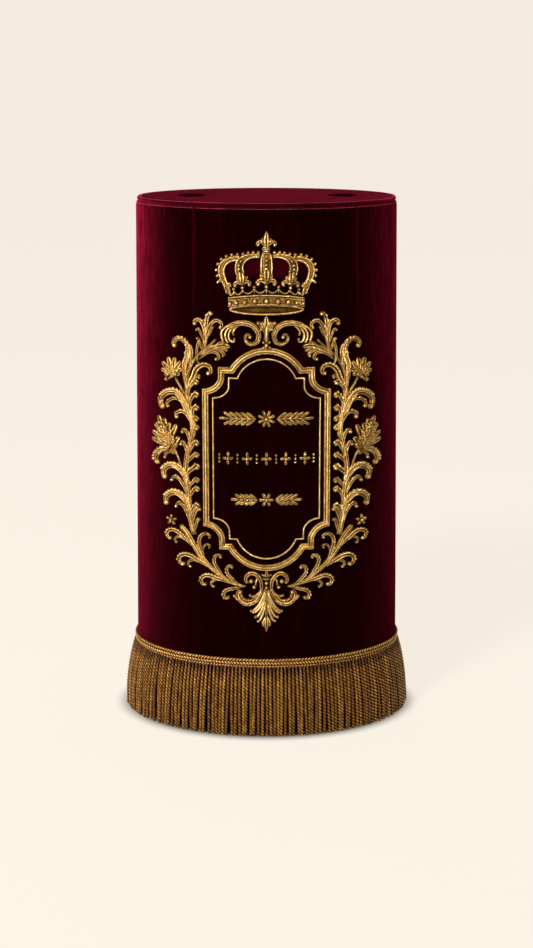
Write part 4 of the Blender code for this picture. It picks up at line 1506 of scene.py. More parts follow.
@dataclass
class Wreath:
    """Both sides of the wreath, with its flowers."""

    stem_root: float = 7.0
    stem_tip: float = 2.6
    lower_root: float = 4.5
    lower_point: float = 0.30

    def branch(self, name: str, node: str, table: list, side: Side, rows: tuple, widths: tuple,
               extras: list | tuple = ()) -> bpy.types.Object:
        """One branch with its fronds.

        Args:
            name: name of the piece.
            node: CAD node that it stands for.
            table: knots of the left stem.
            side: the half.
            rows: outer and inner fronds.
            widths: width of the stem at its root and at its tip.
            extras: sprigs laid from given knots.

        Returns:
            The piece.
        """
        relief = Embroidery()
        stem = Stem(curve_through(mirrored(table, side), 1.0))
        root, tip = widths
        big = max(root, tip)
        grows = tip > root
        relief.blade(stem.path, Cut(big * 1.16, 2.8, 3, self.lower_point if grows else 1.0,
                                    0.7 if grows else 0.30, tip / big, groove=0.6, columns=5))
        for edge, fronds in ((side.value, rows[0]), (-side.value, rows[1])):
            for row in fronds:
                relief.frond(stem, Frond(*row), edge, root)
        for points, wide, ribs, curl in extras:
            relief.sprig(mirrored(points, side), wide, ribs, curl * side.value)
        return relief.sewn(name, node)

    @staticmethod
    def small_leaves() -> list:
        """The sheaths that rise along the inner edge of the upper stem and curl over in a knob.

        Returns:
            Sprigs of the left half.
        """
        stem = curve_through(UPPER_STEM)
        made = []
        for high, wide in INNER_KNOBS:
            knots = [(float(np.interp(high - drop, stem[:, 1], stem[:, 0])) + aside, high - drop)
                     for drop, aside in ((17.0, 0.6), (9.0, 2.6))]
            knots += [(INNER_KNOB_LINE - 3.6, high - 1.8), (INNER_KNOB_LINE - 0.6, high + 1.4),
                      (INNER_KNOB_LINE + 2.0, high - 0.2), (INNER_KNOB_LINE + 2.2, high - 3.0)]
            made.append((knots, wide * 1.12, 3, -1))
        return made

    def flower_high(self, side: Side) -> bpy.types.Object:
        """The upper flower: a fan of grooved petals over a curled pair, with beads at its heart.

        Args:
            side: the half.

        Returns:
            The piece.
        """
        relief = Embroidery()
        hub = np.array(HIGH_HUB)
        for petals, lift in ((HIGH_PETALS_BELOW, 0.0), (HIGH_PETALS_ABOVE, 1.3)):
            for x, z, wide in petals:
                self.petal_to(relief, side, hub, (x, z), wide, lift)
        heart = hub + (-1.5, 1.0)
        for turned in HIGH_HEART:
            self.petal_to(relief, side, heart, heart + unit(math.radians(turned)) * 8.6, 5.0, 2.2)
        for x, z, radius in HIGH_BEADS:
            relief.bead(x * side.value, z, radius, 2.8, 1.5)
        return relief.sewn(f"bloom_high_{side.word}", f"flower_high_{side.word}")

    @staticmethod
    def petal_to(relief: Embroidery, side: Side, start: np.ndarray, tip: np.ndarray | tuple, wide: float,
                 lift: float) -> None:
        """Draws a petal of the left half, or its mirror image, from a start to a tip.

        Args:
            relief: relief to draw in.
            side: the half.
            start: where it starts on the left half.
            tip: where it ends on the left half.
            wide: its width.
            lift: height of its foot over the cloth.
        """
        run = np.subtract(tip, start) * (side.value, 1)
        angle = math.degrees(math.atan2(run[1], run[0]))
        relief.petal(np.multiply(start, (side.value, 1)), angle, float(np.hypot(*run)), wide, lift)

    def flower_wide(self, side: Side) -> bpy.types.Object:
        """The middle flower: tiers of petals up a leaning axis, and a curled leaf below it.

        Args:
            side: the half.

        Returns:
            The piece.
        """
        relief = Embroidery()
        foot, top = np.array(WIDE_AXIS)
        for petals, lift in ((WIDE_PETALS_BELOW, 0.0), (WIDE_PETALS_BETWEEN, 1.4), (WIDE_PETALS_ABOVE, 2.4)):
            for share, x, z, wide in petals:
                self.petal_to(relief, side, foot + (top - foot) * share, (x, z), wide, lift)
        lean = math.degrees(math.atan2(*(top - foot)[::-1]))
        for tier in range(6):
            base = foot + (top - foot) * (0.04 + 0.17 * tier)
            spread = 11.5 - 0.9 * tier
            for turned in (-72, -36, 0, 36, 72):
                tip = base + unit(math.radians(lean + turned)) * spread
                self.petal_to(relief, side, base + (tip - base) * 0.3, tip, 5.4, 2.5)
        for x, z, radius in WIDE_BEADS:
            relief.bead(x * side.value, z, radius, 2.8, 1.6)
        relief.leaf(curve_through(mirrored(WIDE_LEAF, side)), 8.2, side.value)
        inner = curve_through(mirrored(WIDE_LEAF_INNER, side))
        relief.blade(inner, Cut(5.0, 2.1, 2, 0.4, 0.6, 0.8))
        relief.knob(inner, 2.2, side.value, 2.8)
        return relief.sewn(f"bloom_wide_{side.word}", f"flower_wide_{side.word}")

    def flower_low(self, side: Side) -> bpy.types.Object:
        """The small five-petalled flower at the end of the lower branch."""
        relief = Embroidery()
        relief.rosette(-121 * side.value, 279, 7.6, 5, 90)
        return relief.sewn(f"bloom_low_{side.word}", f"flower_low_{side.word}")

    def build(self) -> list:
        """Makes both halves.

        Returns:
            All pieces.
        """
        pieces = []
        for side in Side:
            pieces.append(self.branch(f"branch_{side.word}_lower", f"wreath_{side.word}_lower", LOWER_STEM,
                                      side, (LOWER_OUTER, LOWER_INNER), (self.lower_root, 7.0)))
            pieces.append(self.branch(f"branch_{side.word}_upper", f"wreath_{side.word}_upper", UPPER_STEM,
                                      side, (UPPER_OUTER, UPPER_INNER), (self.stem_root, self.stem_tip),
                                      self.small_leaves() + UPPER_SPRAY))
            pieces += [self.flower_high(side), self.flower_wide(side), self.flower_low(side)]
        return pieces


@dataclass
class Cartouche:
    """The stepped frame: a three-ridged border and a fine line inside it."""

    border: tuple = (80, (508, 483, 454.5, 45), (220.5, 247.3, 276, 48))
    fine: tuple = (66.5, (493.5, 469, 443, 36), (237, 262, 288, 37))
    hollow: tuple = (20.0, 16.5)

    def end(self, half: float, sizes: tuple, upward: int) -> np.ndarray:
        """Half of the outline at one end, from its middle to the straight side.

        Args:
            half: half width of the frame.
            sizes: height of crown, step and shoulder, and half width of the arch.
            upward: +1 for the head, -1 for the foot.

        Returns:
            Places in millimetres.
        """
        crown, step, shoulder, arch = sizes
        rise = abs(crown - step)
        radius = (arch ** 2 + rise ** 2) / (2 * rise)
        swing = math.degrees(math.asin(arch / radius))
        turn = np.radians(np.linspace(upward * 90, upward * (90 - swing), 25))
        over = np.array([0, crown - upward * radius]) + unit(turn) * radius
        level = np.linspace((arch, step), (half - self.hollow[0], step), 4)[1:]
        bend = np.radians(np.linspace(180, 180 + upward * 90, 15))[1:]
        hollow = np.array([half, shoulder + upward * self.hollow[1]]) + unit(bend) * self.hollow
        return np.vstack([over, level, hollow])

    def outline(self, sizes: tuple) -> np.ndarray:
        """The closed outline, anticlockwise from the front, with its long sides split.

        Args:
            sizes: half width, then the head's and the foot's sizes.

        Returns:
            Places in millimetres.
        """
        half, head, foot = sizes
        low, high = self.end(half, foot, -1), self.end(half, head, +1)[::-1]
        side = np.linspace(low[-1], high[0], 60)[1:-1]
        right = np.vstack([low, side, high])
        return np.vstack([right, right[::-1][1:-1] * (-1, 1)])

    @staticmethod
    def ridge(start: float, stop: float, high: float, foot: float, count: int = 9) -> list:
        """A round ridge of the border's section.

        Args:
            start: inset of its outer edge.
            stop: inset of its inner edge.
            high: height of its crest.
            foot: height of its edges.
            count: number of points.

        Returns:
            Pairs of inset and lift.
        """
        turn = np.linspace(0, np.pi, count)
        middle, half = (start + stop) / 2, (stop - start) / 2
        return [(middle - half * math.cos(t), foot + (high - foot) * math.sin(t) ** 0.7) for t in turn]

    def build(self) -> list:
        """Makes the border and the line.

        Returns:
            The two pieces.
        """
        section = [(0.0, 0.0)] + self.ridge(0.05, 2.75, 2.3, 0.1) + self.ridge(2.80, 5.80, 2.8, 1.0)
        section += self.ridge(5.85, 8.55, 2.3, 0.1) + [(8.6, 0.0)]
        relief = Embroidery()
        relief.band(self.outline(self.border), np.array(section))
        border = relief.sewn("frame_border", "cartouche_border")
        line = Embroidery()
        section = [(-1.15, 0.0)] + self.ridge(-1.1, 1.1, 1.9, 0.2, 8) + [(1.15, 0.0)]
        line.band(self.outline(self.fine), np.array(section))
        return [border, line.sewn("frame_line", "cartouche_line")]


@dataclass
class Head:
    """The scrolls and the palmette over the frame."""

    def scroll(self, side: Side) -> bpy.types.Object:
        """A ribbed scroll from its eye to an acanthus end with four fingers.

        Args:
            side: the half.

        Returns:
            The piece.
        """
        relief = Embroidery()
        path = curve_through(mirrored([(-20, 521.5), (-22.5, 524.5), (-26, 521.5), (-25, 515.5), (-19, 512),
                                       (-11.5, 515), (-9, 523), (-12.5, 531.5), (-20, 537), (-31, 538.5),
                                       (-42, 536), (-50, 531)], side), 0.8)
        relief.blade(path, Cut(7.4, 2.8, 3, 0.38, 0.66, 0.8, groove=0.5, columns=5))
        relief.bead(-20.2 * side.value, 521.0, 2.6, 3.0, 0.5)
        self.whipping(relief, path, side)
        fingers = [
            ([(-42, 536.5), (-50, 532.5), (-55, 526.5), (-54.8, 519.5), (-52.8, 514.8)], 4.4),
            ([(-40, 535.5), (-47, 530.5), (-50.4, 524), (-49.4, 517), (-46.9, 513)], 4.0),
            ([(-37, 535.5), (-43, 530), (-46.2, 523), (-44.6, 516.2), (-40.6, 514.6), (-38.2, 518.6)], 4.0),
            ([(-33, 535.5), (-38.4, 531), (-41, 526.5), (-39.9, 522.2)], 3.4),
        ]
        for points, wide in fingers:
            line = curve_through(mirrored(points, side))
            relief.blade(line, Cut(wide, 2.5, 1, 0.4, 0.6, 0.75, 0.2))
        end = curve_through(mirrored(fingers[2][0], side))
        relief.knob(end, 2.0, side.value, 3.0)
        return relief.sewn(f"scroll_head_{side.word}", f"head_scroll_{side.word}")

    @staticmethod
    def whipping(relief: Embroidery, path: np.ndarray, side: Side) -> None:
        """Lays short slanting stitches along the outer edge of a scroll.

        Args:
            relief: relief to draw in.
            path: middle line of the scroll.
            side: the half.
        """
        turns = headings(path)
        places = np.linspace(0, 1, len(path))
        for share in np.linspace(0.34, 0.93, 26):
            place = np.array([np.interp(share, places, path[:, k]) for k in (0, 1)])
            out = np.interp(share, places, turns) + side.value * np.pi / 2
            start, stop = place + unit(out) * 1.5, place + unit(out - side.value * 0.5) * 4.0
            relief.blade(np.linspace(start, stop, 5), Cut(2.0, 3.3, 1, 0.8, 0.5, 0.8, 0.6, columns=4))

    def palmette(self) -> bpy.types.Object:
        """The upright palmette: a beaded rosette, a tongue and a three-lobed top.

        Returns:
            The piece.
        """
        relief = Embroidery()
        for edge in (1, -1):
            knots = [(1.5 * edge, 526), (4.5 * edge, 531), (7.5 * edge, 536), (10.0 * edge, 538.5)]
            relief.blade(curve_through(knots), Cut(5.6, 2.6, 2, 0.5, 0.65, 0.8, groove=0.5))
            relief.bead(10.0 * edge, 538.4, 2.7, 3.2, 0.6)
            relief.bead(6.6 * edge, 530.6, 1.9, 2.6, 0.4)
        tongue = Cut(9.6, 3.0, 2, 0.5, 0.5, 0.12, 0.4, groove=0.35, columns=6)
        relief.blade(curve_through([(0, 529), (0, 538), (0, 548)]), tongue)
        for edge in (1, -1):
            relief.petal((1.4 * edge, 529), 90 - edge * 24, 12.5, 6.0, 0.3)
        relief.blade(curve_through([(0, 519), (0, 526), (0, 535)]), Cut(6.4, 3.4, 1, 0.7, 0.4, 0.3, 0.8))
        relief.line([(-3.4, 519.2), (0, 518.4), (3.4, 519.2)], 1.8, 3.0)
        relief.line([(-3.0, 521.4), (0, 520.6), (3.0, 521.4)], 1.6, 3.0)
        for angle in (38, 90, 142, 218, 322):
            place = np.array([0, 511.4]) + unit(math.radians(angle)) * (4.6, 5.4)
            relief.bead(place[0], place[1], 2.1, 2.8, 1.0)
        relief.bead(0, 511.2, 2.9, 3.6, 1.8, 1.3)
        return relief.sewn("palmette_head", "head_palmette")

    def build(self) -> list:
        """Makes the three pieces."""
        return [self.scroll(Side.LEFT), self.scroll(Side.RIGHT), self.palmette()]


@dataclass
class Foot:
    """The volutes, the swags and the palmette under the frame."""

    def volute(self, side: Side) -> bpy.types.Object:
        """A small volute with two ball ends.

        Args:
            side: the half.

        Returns:
            The piece.
        """
        relief = Embroidery()
        path = curve_through(mirrored([(-6.5, 192), (-6.2, 200), (-7.4, 208.5), (-12.5, 215.5), (-19, 217.6),
                                       (-25, 213.6), (-26.3, 207.6), (-22.7, 203.8)], side), 0.8)
        relief.blade(path, Cut(7.2, 2.9, 2, 0.6, 0.5, 0.62, groove=0.55, columns=6))
        relief.bead(-19.2 * side.value, 207.2, 3.3, 3.4, 0.6)
        inner = curve_through(mirrored([(-9.5, 212), (-13.0, 208), (-13.6, 203), (-15.2, 199.5)], side))
        relief.blade(inner, Cut(3.2, 2.0, 1, 0.6, 0.5, 0.8))
        relief.bead(-15.4 * side.value, 199.4, 2.9, 3.2, 0.6)
        return relief.sewn(f"volute_{side.word}", f"foot_scroll_{side.word}")

    def swag(self, side: Side) -> bpy.types.Object:
        """A hanging leaf with a beaded upper edge.

        Args:
            side: the half.

        Returns:
            The piece.
        """
        relief = Embroidery()
        path = curve_through(mirrored([(-6, 197), (-9.5, 188), (-15, 181), (-22, 177.6), (-29, 178.6),
                                       (-34.5, 184), (-35.5, 190.5), (-32, 194)], side), 0.8)
        relief.blade(path, Cut(10.0, 2.8, 3, 0.45, 0.5, 0.66, groove=0.6, columns=5))
        relief.lobes(path, 8.0, side.value, np.linspace(0.30, 0.72, 5), 0.7, 14)
        relief.knob(path, 3.0, -side.value, 3.4)
        for share, radius in ((0.50, 1.7), (0.60, 1.7), (0.70, 1.7), (0.80, 1.6), (0.88, 1.5)):
            place = path[int(share * (len(path) - 1))]
            turn = headings(path)[int(share * (len(path) - 1))]
            aside = place + unit(turn - side.value * np.pi / 2) * 4.6
            relief.bead(aside[0], aside[1], radius * 1.15, 2.8, 0.8)
        upper = curve_through(mirrored([(-7, 196), (-11, 189.5), (-16.5, 186.5), (-22, 188)], side))
        relief.blade(upper, Cut(4.2, 2.0, 2, 0.4, 0.6, 0.55))
        relief.bead(-20.8 * side.value, 188.2, 1.9, 2.4, 0.5)
        ball = curve_through(mirrored([(-31, 181), (-37, 182), (-40.5, 186)], side))
        relief.blade(ball, Cut(3.6, 1.8, 1, 0.5, 0.6, 0.8))
        relief.bead(-40.5 * side.value, 186.5, 2.3, 2.6, 0.4)
        return relief.sewn(f"swag_{side.word}", f"foot_swag_{side.word}")

    def palmette(self) -> bpy.types.Object:
        """The hanging palmette: a beaded column, four pairs of fronds and a spear.

        Returns:
            The piece.
        """
        relief = Embroidery()
        fans = [
            [(-2, 197), (-5, 186), (-9.5, 176), (-15, 169), (-20, 166.5)],
            [(-2, 192), (-4.5, 182), (-8, 173), (-13.5, 166.5), (-17.5, 165)],
            [(-1.5, 188), (-3.5, 178), (-6.5, 168), (-10.5, 161), (-14.5, 158.5)],
            [(-1, 182), (-2.5, 172), (-5, 162.5), (-8, 156), (-11.0, 153)],
        ]
        for side in Side:
            for points in fans:
                line = curve_through(mirrored(points, side))
                relief.blade(line, Cut(5.0, 2.7, 1, 0.3, 0.74, 0.8))
                relief.knob(line, 2.1, -side.value, 3.2)
        spear = curve_through([(0, 196), (0, 180), (0, 166), (0, 156)])
        relief.blade(spear, Cut(4.6, 3.0, 2, 0.9, 0.3, 0.8, 0.4, groove=0.35))
        for side in Side:
            lobe = curve_through(mirrored([(-0.5, 160), (-3.4, 155), (-4.6, 150.5), (-3.2, 146.5)], side))
            relief.blade(lobe, Cut(4.2, 2.4, 1, 0.4, 0.5, 0.55, 0.2))
        point = Cut(7.6, 3.0, 2, 0.4, 0.35, 0.12, 0.4, groove=0.3)
        relief.blade(curve_through([(0, 158), (0, 150), (0, 139.8)]), point)
        relief.petal((0, 213.0), 90, 8.2, 4.6, 0.5, high=2.8)
        for edge in (1, -1):
            line = relief.petal((0, 212.5), 90 - edge * 48, 6.4, 4.0, 0.2, bend=-edge * 30)
            relief.bead(line[-1][0], line[-1][1], 1.5, 2.0, 0.6)
        relief.line([(-4.2, 210.8), (0, 209.8), (4.2, 210.8)], 2.6, 2.8)
        relief.bead(0, 205.0, 3.0, 3.6, 0.6)
        relief.bead(0, 198.6, 2.6, 3.2, 0.6, 1.15)
        return relief.sewn("palmette_foot", "foot_palmette")

    def build(self) -> list:
        """Makes the five pieces."""
        pieces = [self.volute(side) for side in Side] + [self.swag(side) for side in Side]
        return pieces + [self.palmette()]


@dataclass
class Crown:
    """The crown: band, cresting, arches with pearls, lily ornaments and finial."""

    half: float = 47.0
    # Heights in the middle and at the ends: where the cresting stands, the row of lozenges, the small beads
    crest_highlight: tuple = (574.0, 569.6)
    row: tuple = (566.2, 562.2)
    small_row: tuple = (563.9, 560.4)
    # Places across where the cresting has its points
    stands: tuple = (-46.2, -39.3, -28.8, -14.7, 0.0, 14.7, 28.8, 39.3, 46.2)

    def rim_height(self, x: Number, middle: float, end: float) -> Number:
        """Height of a bent rim at places across, from its heights in the middle and at the ends."""
        return middle + (end - middle) * (np.asarray(x) / self.half) ** 2

    @staticmethod
    def field(relief: Embroidery, middle: np.ndarray, across: np.ndarray, high: float, shade: float) -> None:
        """Adds a low padded field along a line.

        Args:
            relief: relief to draw in.
            middle: its middle line.
            across: from the middle line to its edge, at each point.
            high: its height over the cloth.
            shade: its place from dark painted shade to painted highlight.
        """
        v = np.linspace(-1, 1, 9)
        flat = middle[:, None] + across[:, None] * v[None, :, None]
        lift = np.broadcast_to(high * (1 - np.abs(v) ** 6), flat.shape[:2])
        relief.rings(on_front(flat, lift), flat * MM, np.full(flat.shape[:2], shade))

    def channel(self, relief: Embroidery, outer: Knots, inner: Knots, side: Side, beads: tuple = (),
                rim: float = 3.0) -> np.ndarray:
        """Draws a sunk channel between two raised rims, with beads in it.

        Args:
            relief: relief to draw in.
            outer: knots of the outer rim on the left half.
            inner: knots of the inner rim, running the same way.
            side: the half.
            beads: where beads lie, as shares of the length.
            rim: width of the rims.

        Returns:
            The outer rim's middle line.
        """
        count = 48
        first, second = (evenly(curve_through(mirrored(knots, side), 0.8), count) for knots in (outer, inner))
        middle, across = (first + second) / 2, (first - second) / 2 * side.value
        self.field(relief, middle, across, 1.9, 0.80)
        for line in (first, second):
            relief.blade(line, Cut(rim, 3.0, 1, 0.8, 0.5, 0.85))
        for share in beads:
            place = middle[int(share * (count - 1))]
            relief.bead(place[0], place[1], 2.3, 3.4, 1.8)
        return first

    def lily(self, relief: Embroidery, x: float, foot: float, size: float, lean: float = 0.0) -> None:
        """Draws a three-lobed ornament standing on a bead.

        Args:
            relief: relief to draw in.
            x: place across.
            foot: height of its bead.
            size: factor on the largest one.
            lean: degrees that it leans to the left.
        """
        base = np.array([x, foot])
        relief.petal(base + (0, 6.0 * size), 90 + lean, 14.6 * size, 10.8 * size, 2.8, high=3.4)
        for edge in (1, -1):
            root = base + (edge * 1.8 * size, 7.0 * size)
            relief.petal(root, 90 + lean - edge * 34, 9.4 * size, 5.0 * size, 2.0, high=2.8)
        relief.line([base + (-3.0 * size, 5.6), base + (0, 5.0), base + (3.0 * size, 5.6)], 2.4, 5.0)
        for edge in (1, -1):
            t = np.linspace(0, 1, 18)
            turn = np.radians(90 + lean - edge * (14 + 200 * t ** 1.35))
            line = base + (edge * 0.6, 2.0) + np.cumsum(unit(turn) * 17.0 * size / 18, axis=0)
            relief.blade(line, Cut(6.4 * size, 2.8, 2, 0.5, 0.45, 0.75, 1.4, groove=0.4))
            relief.knob(line, 3.0 * size, -edge, 5.0)
        relief.bead(x, foot, 2.7 * size, 3.4, 2.0)

    def band(self) -> bpy.types.Object:
        """The bent band with two rims, lozenges, beads, the opening below painted darker as shade, and the
        cresting.

        Returns:
            The piece.
        """
        relief = Embroidery()
        x = np.linspace(-46.2, 46.2, 61)
        top, low = self.rim_height(x, 572.0, 567.6), self.rim_height(x, 559.6, 556.8)
        middle = np.stack([x, (top + low) / 2], axis=-1)
        self.field(relief, middle, np.outer((top - low) / 2 + 0.6, (0, 1)), 2.6, 0.82)
        turn = np.linspace(0, 2 * np.pi, 121)[:-1]
        ring = np.stack([44.6 * np.cos(turn), 554.9 + 6.0 * np.sin(turn)], axis=-1)
        section = [(-0.9, 0.0), (-0.9, 2.2), (0.2, 3.4), (1.3, 2.6), (1.9, 1.4), (1.9, 0.0)]
        relief.band(ring, np.array(section))
        # The opening under the ring: a low field painted darker, as shade
        opening = 4.6 * np.sqrt(1 - np.linspace(-0.97, 0.97, 41) ** 2)
        self.field(relief, np.linspace((-42, 554.9), (42, 554.9), 41), np.outer(opening, (0, 1)), 0.9, 0.56)
        for height, end, wide in ((573.0, 568.6, 2.6), (570.2, 565.9, 1.3), (562.0, 559.0, 2.4)):
            line = np.stack([x, self.rim_height(x, height, end)], axis=-1)
            relief.blade(line, Cut(wide, 4.6 if wide > 2 else 3.8, 1, 0.95, 0.5, 0.95))
        for place in (0, 13.8, -13.8, 26.0, -26.0, 36.0, -36.0, 43.4, -43.4):
            z = float(self.rim_height(place, *self.row))
            thin = math.sqrt(1 - (place / 62) ** 2)
            relief.bead(place, z, 3.7 * thin, 3.6, 3.0)
        for place in (6.9, 19.9, 31.0, 39.7):
            for edge in (1, -1):
                z = float(self.rim_height(place, *self.row))
                for turned in (52, 128, 232, 308):
                    relief.petal((place * edge, z), turned, 4.6, 1.9, 2.3, high=1.3)
        for place in np.arange(-40.5, 41, 4.5):
            relief.bead(place, float(self.rim_height(place, *self.small_row)), 0.9, 1.4, 3.0)
        for start, stop in zip(self.stands, self.stands[1:]):
            z0 = float(self.rim_height(start, *self.crest_highlight))
            z1 = float(self.rim_height(stop, *self.crest_highlight))
            gap = stop - start
            dip = [(start + 0.05 * gap, z0 + 6.6), (start + gap * 0.22, z0 + 3.2),
                   (start + gap * 0.5, (z0 + z1) / 2 + 1.9),
                   (start + gap * 0.78, z1 + 3.2), (stop - 0.05 * gap, z1 + 6.6)]
            relief.line(dip, 2.1, 2.4, 0.7)
        for place in (-39.3, -14.7, 14.7, 39.3):
            z = float(self.rim_height(place, *self.crest_highlight))
            relief.line([(place, z + 1), (place, z + 4), (place, z + 7.4)], 1.8, 2.4)
            relief.bead(place, z + 9.2, 2.3, 3.0, 0.8)
        return relief.sewn("crown_base", "crown_band")

    def outer_arch(self, side: Side, node: str) -> bpy.types.Object:
        """An outer arch with pearls on its edge and a half lily at its root.

        Args:
            side: the half.
            node: CAD node that it stands for.

        Returns:
            The piece.
        """
        relief = Embroidery()
        path = self.channel(relief, [(-48, 574), (-51, 583), (-55.2, 592), (-57.6, 601.5), (-55.8, 610),
                                     (-49.6, 616.4), (-40, 619.4), (-33.5, 619.6)],
                            [(-43.6, 574), (-46.2, 583), (-49.6, 592), (-51.6, 601), (-50.2, 607.6),
                             (-45.6, 612.6), (-38.6, 615), (-34.5, 615)], side, rim=3.2)
        self.pearls(relief, path, 0.28, 0.98, 8, 2.7, side.value)
        for points in ([(-48, 583), (-52, 588), (-56.5, 590.5), (-58.6, 588)],
                       [(-48, 580), (-47, 585), (-44.6, 586.5), (-43.6, 584)]):
            line = curve_through(mirrored(points, side))
            relief.blade(line, Cut(4.2, 2.6, 2, 0.5, 0.5, 0.7, 0.8))
            relief.bead(line[-1][0], line[-1][1], 2.1, 2.8, 1.4)
        relief.bead(-48.8 * side.value, 576.5, 1.5, 2.6, 1.2)
        relief.bead(-50.4 * side.value, 581.0, 1.5, 2.6, 1.2)
        return relief.sewn(f"arch_outer_{side.word}", node)

    @staticmethod
    def pearls(relief: Embroidery, path: np.ndarray, start: float, stop: float, count: int, off: float,
               side: float) -> None:
        """Sets pearls along one edge of an arch.

        Args:
            relief: relief to draw in.
            path: rim of the arch.
            start: share of its length where they start.
            stop: share of its length where they end.
            count: number of pearls.
            off: distance of their middles off the rim.
            side: +1 for the edge left of travel.
        """
        turns = headings(path)
        places = np.linspace(0, 1, len(path))
        for share in np.linspace(start, stop, count):
            place = np.array([np.interp(share, places, path[:, k]) for k in (0, 1)])
            aside = place + unit(np.interp(share, places, turns) + side * np.pi / 2) * off
            relief.bead(aside[0], aside[1], 2.45, 3.1, 0.7)

    def inner_arch(self, side: Side, node: str) -> bpy.types.Object:
        """An inner arch: broad and beaded below, a thin pearled rim above.

        Args:
            side: the half.
            node: CAD node that it stands for.

        Returns:
            The piece.
        """
        relief = Embroidery()
        path = self.channel(relief, [(-34, 594), (-36.4, 599), (-37.4, 606), (-35.6, 613.6), (-31.3, 618.6),
                                     (-25, 621.4), (-16, 622.4), (-7.6, 622.4)],
                            [(-28, 594), (-27.6, 599.5), (-28.8, 606), (-27.4, 611.8), (-24, 615.8),
                             (-19.4, 618.2), (-14, 619.2), (-7.6, 619.2)],
                            side, (0.14, 0.25, 0.36, 0.47), 3.2)
        self.pearls(relief, path, 0.50, 0.96, 5, 2.5, side.value)
        self.lily(relief, -28.8 * side.value, 582.0, 0.94, 6 * side.value)
        relief.line(mirrored([(-28.8, 575), (-28.8, 580)], side) + mirrored([(-28.8, 581.5)], side), 2.6, 2.6)
        return relief.sewn(f"arch_inner_{side.word}", node)

    def middle_arch(self) -> bpy.types.Object:
        """The middle arch with four beads and the largest lily.

        Returns:
            The piece.
        """
        relief = Embroidery()
        left = [(-5.2, 594), (-6.4, 603), (-6.2, 614), (-4.6, 623.6)]
        self.channel(relief, left, [(-x, z) for x, z in left], Side.LEFT, (), 3.6)
        for z in (620.4, 615.4, 610.4, 605.6):
            relief.bead(0, z, 2.4, 3.6, 1.6)
        self.lily(relief, 0.0, 583.6, 1.08)
        relief.line([(0, 575), (0, 578), (0, 582)], 3.0, 2.8)
        return relief.sewn("arch_middle", "crown_arch_3")

    def finial(self) -> bpy.types.Object:
        """The collar and the lily on top.

        Returns:
            The piece.
        """
        relief = Embroidery()
        for z, half in ((624.2, 5.0), (626.6, 4.6), (629.0, 5.2), (631.2, 4.4)):
            relief.line([(-half, z), (0, z - 0.7), (half, z)], 2.4, 3.6)
        tongue = Cut(9.8, 3.4, 2, 0.5, 0.48, 0.10, 0.8, groove=0.3, columns=6)
        relief.blade(curve_through([(0, 630), (0, 640), (0, 651)]), tongue)
        for edge in (1, -1):
            relief.petal((1.0 * edge, 635.5), 90 - edge * 34, 8.4, 4.8, 0.5)
            line = curve_through([(1.0 * edge, 631), (4.0 * edge, 636.4), (8.0 * edge, 638.2),
                                  (11.0 * edge, 635.6), (10.2 * edge, 632.6)])
            relief.blade(line, Cut(5.6, 2.8, 2, 0.5, 0.5, 0.7, 0.5))
            relief.knob(line, 2.4, -edge, 3.4)
        return relief.sewn("crown_lily", "crown_finial")

    def build(self) -> list:
        """Makes all pieces of the crown.

        Returns:
            The pieces.
        """
        return [
            self.band(),
            self.outer_arch(Side.LEFT, "crown_arch_1"),
            self.inner_arch(Side.LEFT, "crown_arch_2"),
            self.middle_arch(),
            self.inner_arch(Side.RIGHT, "crown_arch_4"),
            self.outer_arch(Side.RIGHT, "crown_arch_5"),
            self.finial(),
        ]


@dataclass
class Ornament:
    """Plain laurel and lozenge rows in the middle of the frame."""

    def laurel(self, relief: Embroidery, z: float, start: float, stop: float, pairs: int,
               long: float) -> None:
        """Draws a laurel spray to each side of the middle.

        Args:
            relief: relief to draw in.
            z: height of the row.
            start: where a spray starts across.
            stop: where its last leaf ends.
            pairs: number of pairs of leaves.
            long: length of a leaf.
        """
        for edge in (1, -1):
            knots = [(start * edge, z), ((start + stop) / 2 * edge, z + 0.6), ((stop - long) * edge, z)]
            relief.line(knots, 2.2, 2.0)
            for place in np.linspace(start + 1, stop - long - 3.5, pairs):
                for up in (1, -1):
                    angle = up * 38 if edge == 1 else 180 - up * 38
                    relief.petal((place * edge, z + 0.6 * up), angle, long, 4.8, 0.1, -up * edge * 14)
                relief.bead((place + 5.5) * edge, z + 0.4, 1.5, 2.4, 1.0)
            relief.petal(((stop - long) * edge, z), 0 if edge == 1 else 180, long, 4.8, 0.2)

    def build(self) -> list:
        """Makes the three rows.

        Returns:
            The pieces.
        """
        first = Embroidery()
        first.rosette(0, 418, 11.5, 8, 22.5)
        self.laurel(first, 418, 13, 59, 5, 13.5)
        second = Embroidery()
        for place in (0, 24, -24, 48, -48):
            for angle, long in ((0, 7.0), (90, 8.4), (180, 7.0), (270, 8.4)):
                second.petal((place, 367), angle, long, 4.6)
            second.bead(place, 367, 2.6, 3.0, 1.0)
        for place in (12, -12, 36, -36, 58.5, -58.5):
            for up in (-4.6, 0, 4.6):
                second.bead(place, 367 + up, 1.9, 2.6, 0.3)
        third = Embroidery()
        third.rosette(0, 314, 9.5, 6, 0)
        self.laurel(third, 314, 11, 45, 4, 11.5)
        names = ("ornament_high", "ornament_middle", "ornament_low")
        return [dress(row.make(name, GOLD), GOLD.slot) for name, row in zip(names, (first, second, third))]


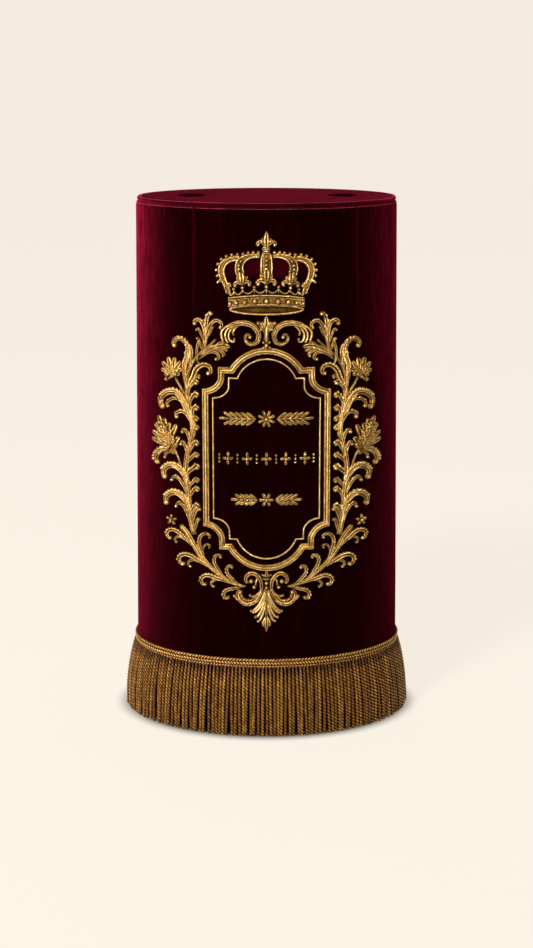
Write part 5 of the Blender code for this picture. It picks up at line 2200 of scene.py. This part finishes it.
@dataclass(frozen=True)
class Lamp:
    """One soft square lamp: metres and watts."""

    name: str
    place: tuple
    target: tuple
    size: float
    power: float
    colour: tuple = (1.0, 0.95, 0.92)

    def build(self) -> None:
        """Makes the lamp and turns it to its target."""
        data = bpy.data.lights.new(self.name, "AREA")
        data.size = self.size
        data.energy = self.power
        data.color = self.colour
        lamp = bpy.data.objects.new(self.name, data)
        lamp.location = self.place
        away = np.subtract(self.place, self.target).astype(float)
        lamp.rotation_euler = (math.acos(away[2] / np.linalg.norm(away)), 0,
                               math.atan2(away[1], away[0]) + math.pi / 2)
        bpy.context.scene.collection.objects.link(lamp)


LAMPS = (
    Lamp("key", (-1.25, -1.9, 2.5), (0, 0, 0.35), 0.45, 210, (1.0, 0.965, 0.92)),
    Lamp("side", (-2.1, 0.5, 1.9), (0, 0, 0.5), 0.8, 15),
    Lamp("fill", (2.1, 0.4, 1.8), (0, 0, 0.5), 0.8, 11),
    Lamp("top", (0.1, 0.6, 2.4), (0, 0, 0.6), 1.2, 10, (1.0, 0.97, 0.95)),
)


@dataclass
class Studio:
    """Floor, light and camera, as in the photograph."""

    place: tuple = (0.0, -2.16, 0.901)
    pitch: float = 15.1
    lens: float = 64.25
    sensor: float = 36.0
    # The floor's section, along Y and up, and its half width
    sweep: tuple = ((-12.0, 0.0), (3.0, 0.0), (4.2, 0.25), (5.0, 1.1), (5.3, 2.4), (5.3, 7.0))
    half_width: float = 9.0
    steps: int = 40
    sky: tuple = (1.0, 0.965, 0.91, 1)
    sky_strength: float = 0.24

    def build(self) -> None:
        """Makes the floor with a backdrop sweep, the lamps and the camera."""
        run = evenly(np.array(self.sweep), self.steps)
        points = [(x, y, z) for y, z in run for x in (-self.half_width, self.half_width)]
        faces = [(2 * k, 2 * k + 1, 2 * k + 3, 2 * k + 2) for k in range(self.steps - 1)]
        mesh = bpy.data.meshes.new("floor")
        mesh.from_pydata(points, [], faces)
        stand("floor", mesh, FLOOR)
        world = bpy.data.worlds.new("studio")
        world.use_nodes = True
        background = world.node_tree.nodes["Background"].inputs
        background["Color"].default_value = self.sky
        background["Strength"].default_value = self.sky_strength
        for lamp in LAMPS:
            lamp.build()
        data = bpy.data.cameras.new("camera")
        data.lens = self.lens
        data.sensor_width = self.sensor
        camera = bpy.data.objects.new("camera", data)
        camera.location = self.place
        camera.rotation_euler = (math.radians(90 - self.pitch), 0, 0)
        scene = bpy.context.scene
        scene.collection.objects.link(camera)
        scene.world = world
        scene.camera = camera
        scene.view_settings.view_transform = "Standard"


def main() -> None:
    """Builds and dresses every piece."""
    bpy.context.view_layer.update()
    wall = dress(VelvetWall().build(), VELVET.slot, "wall")
    top = dress(TopPanel().build(), LIT_VELVET_TOP.slot, "top_panel")
    rim = Rim().build()
    for piece in rim:
        dress(piece, LIT_VELVET_CORD.slot, "top_piping")
    fringe = Fringe().build()
    for piece in fringe:
        dress(piece, FRINGE_GOLD.slot, "fringe")
    sewn = Cartouche().build() + Wreath().build() + Head().build() + Foot().build()
    sewn += Crown().build() + Ornament().build()
    Studio().build()


if __name__ == "__main__":
    main()
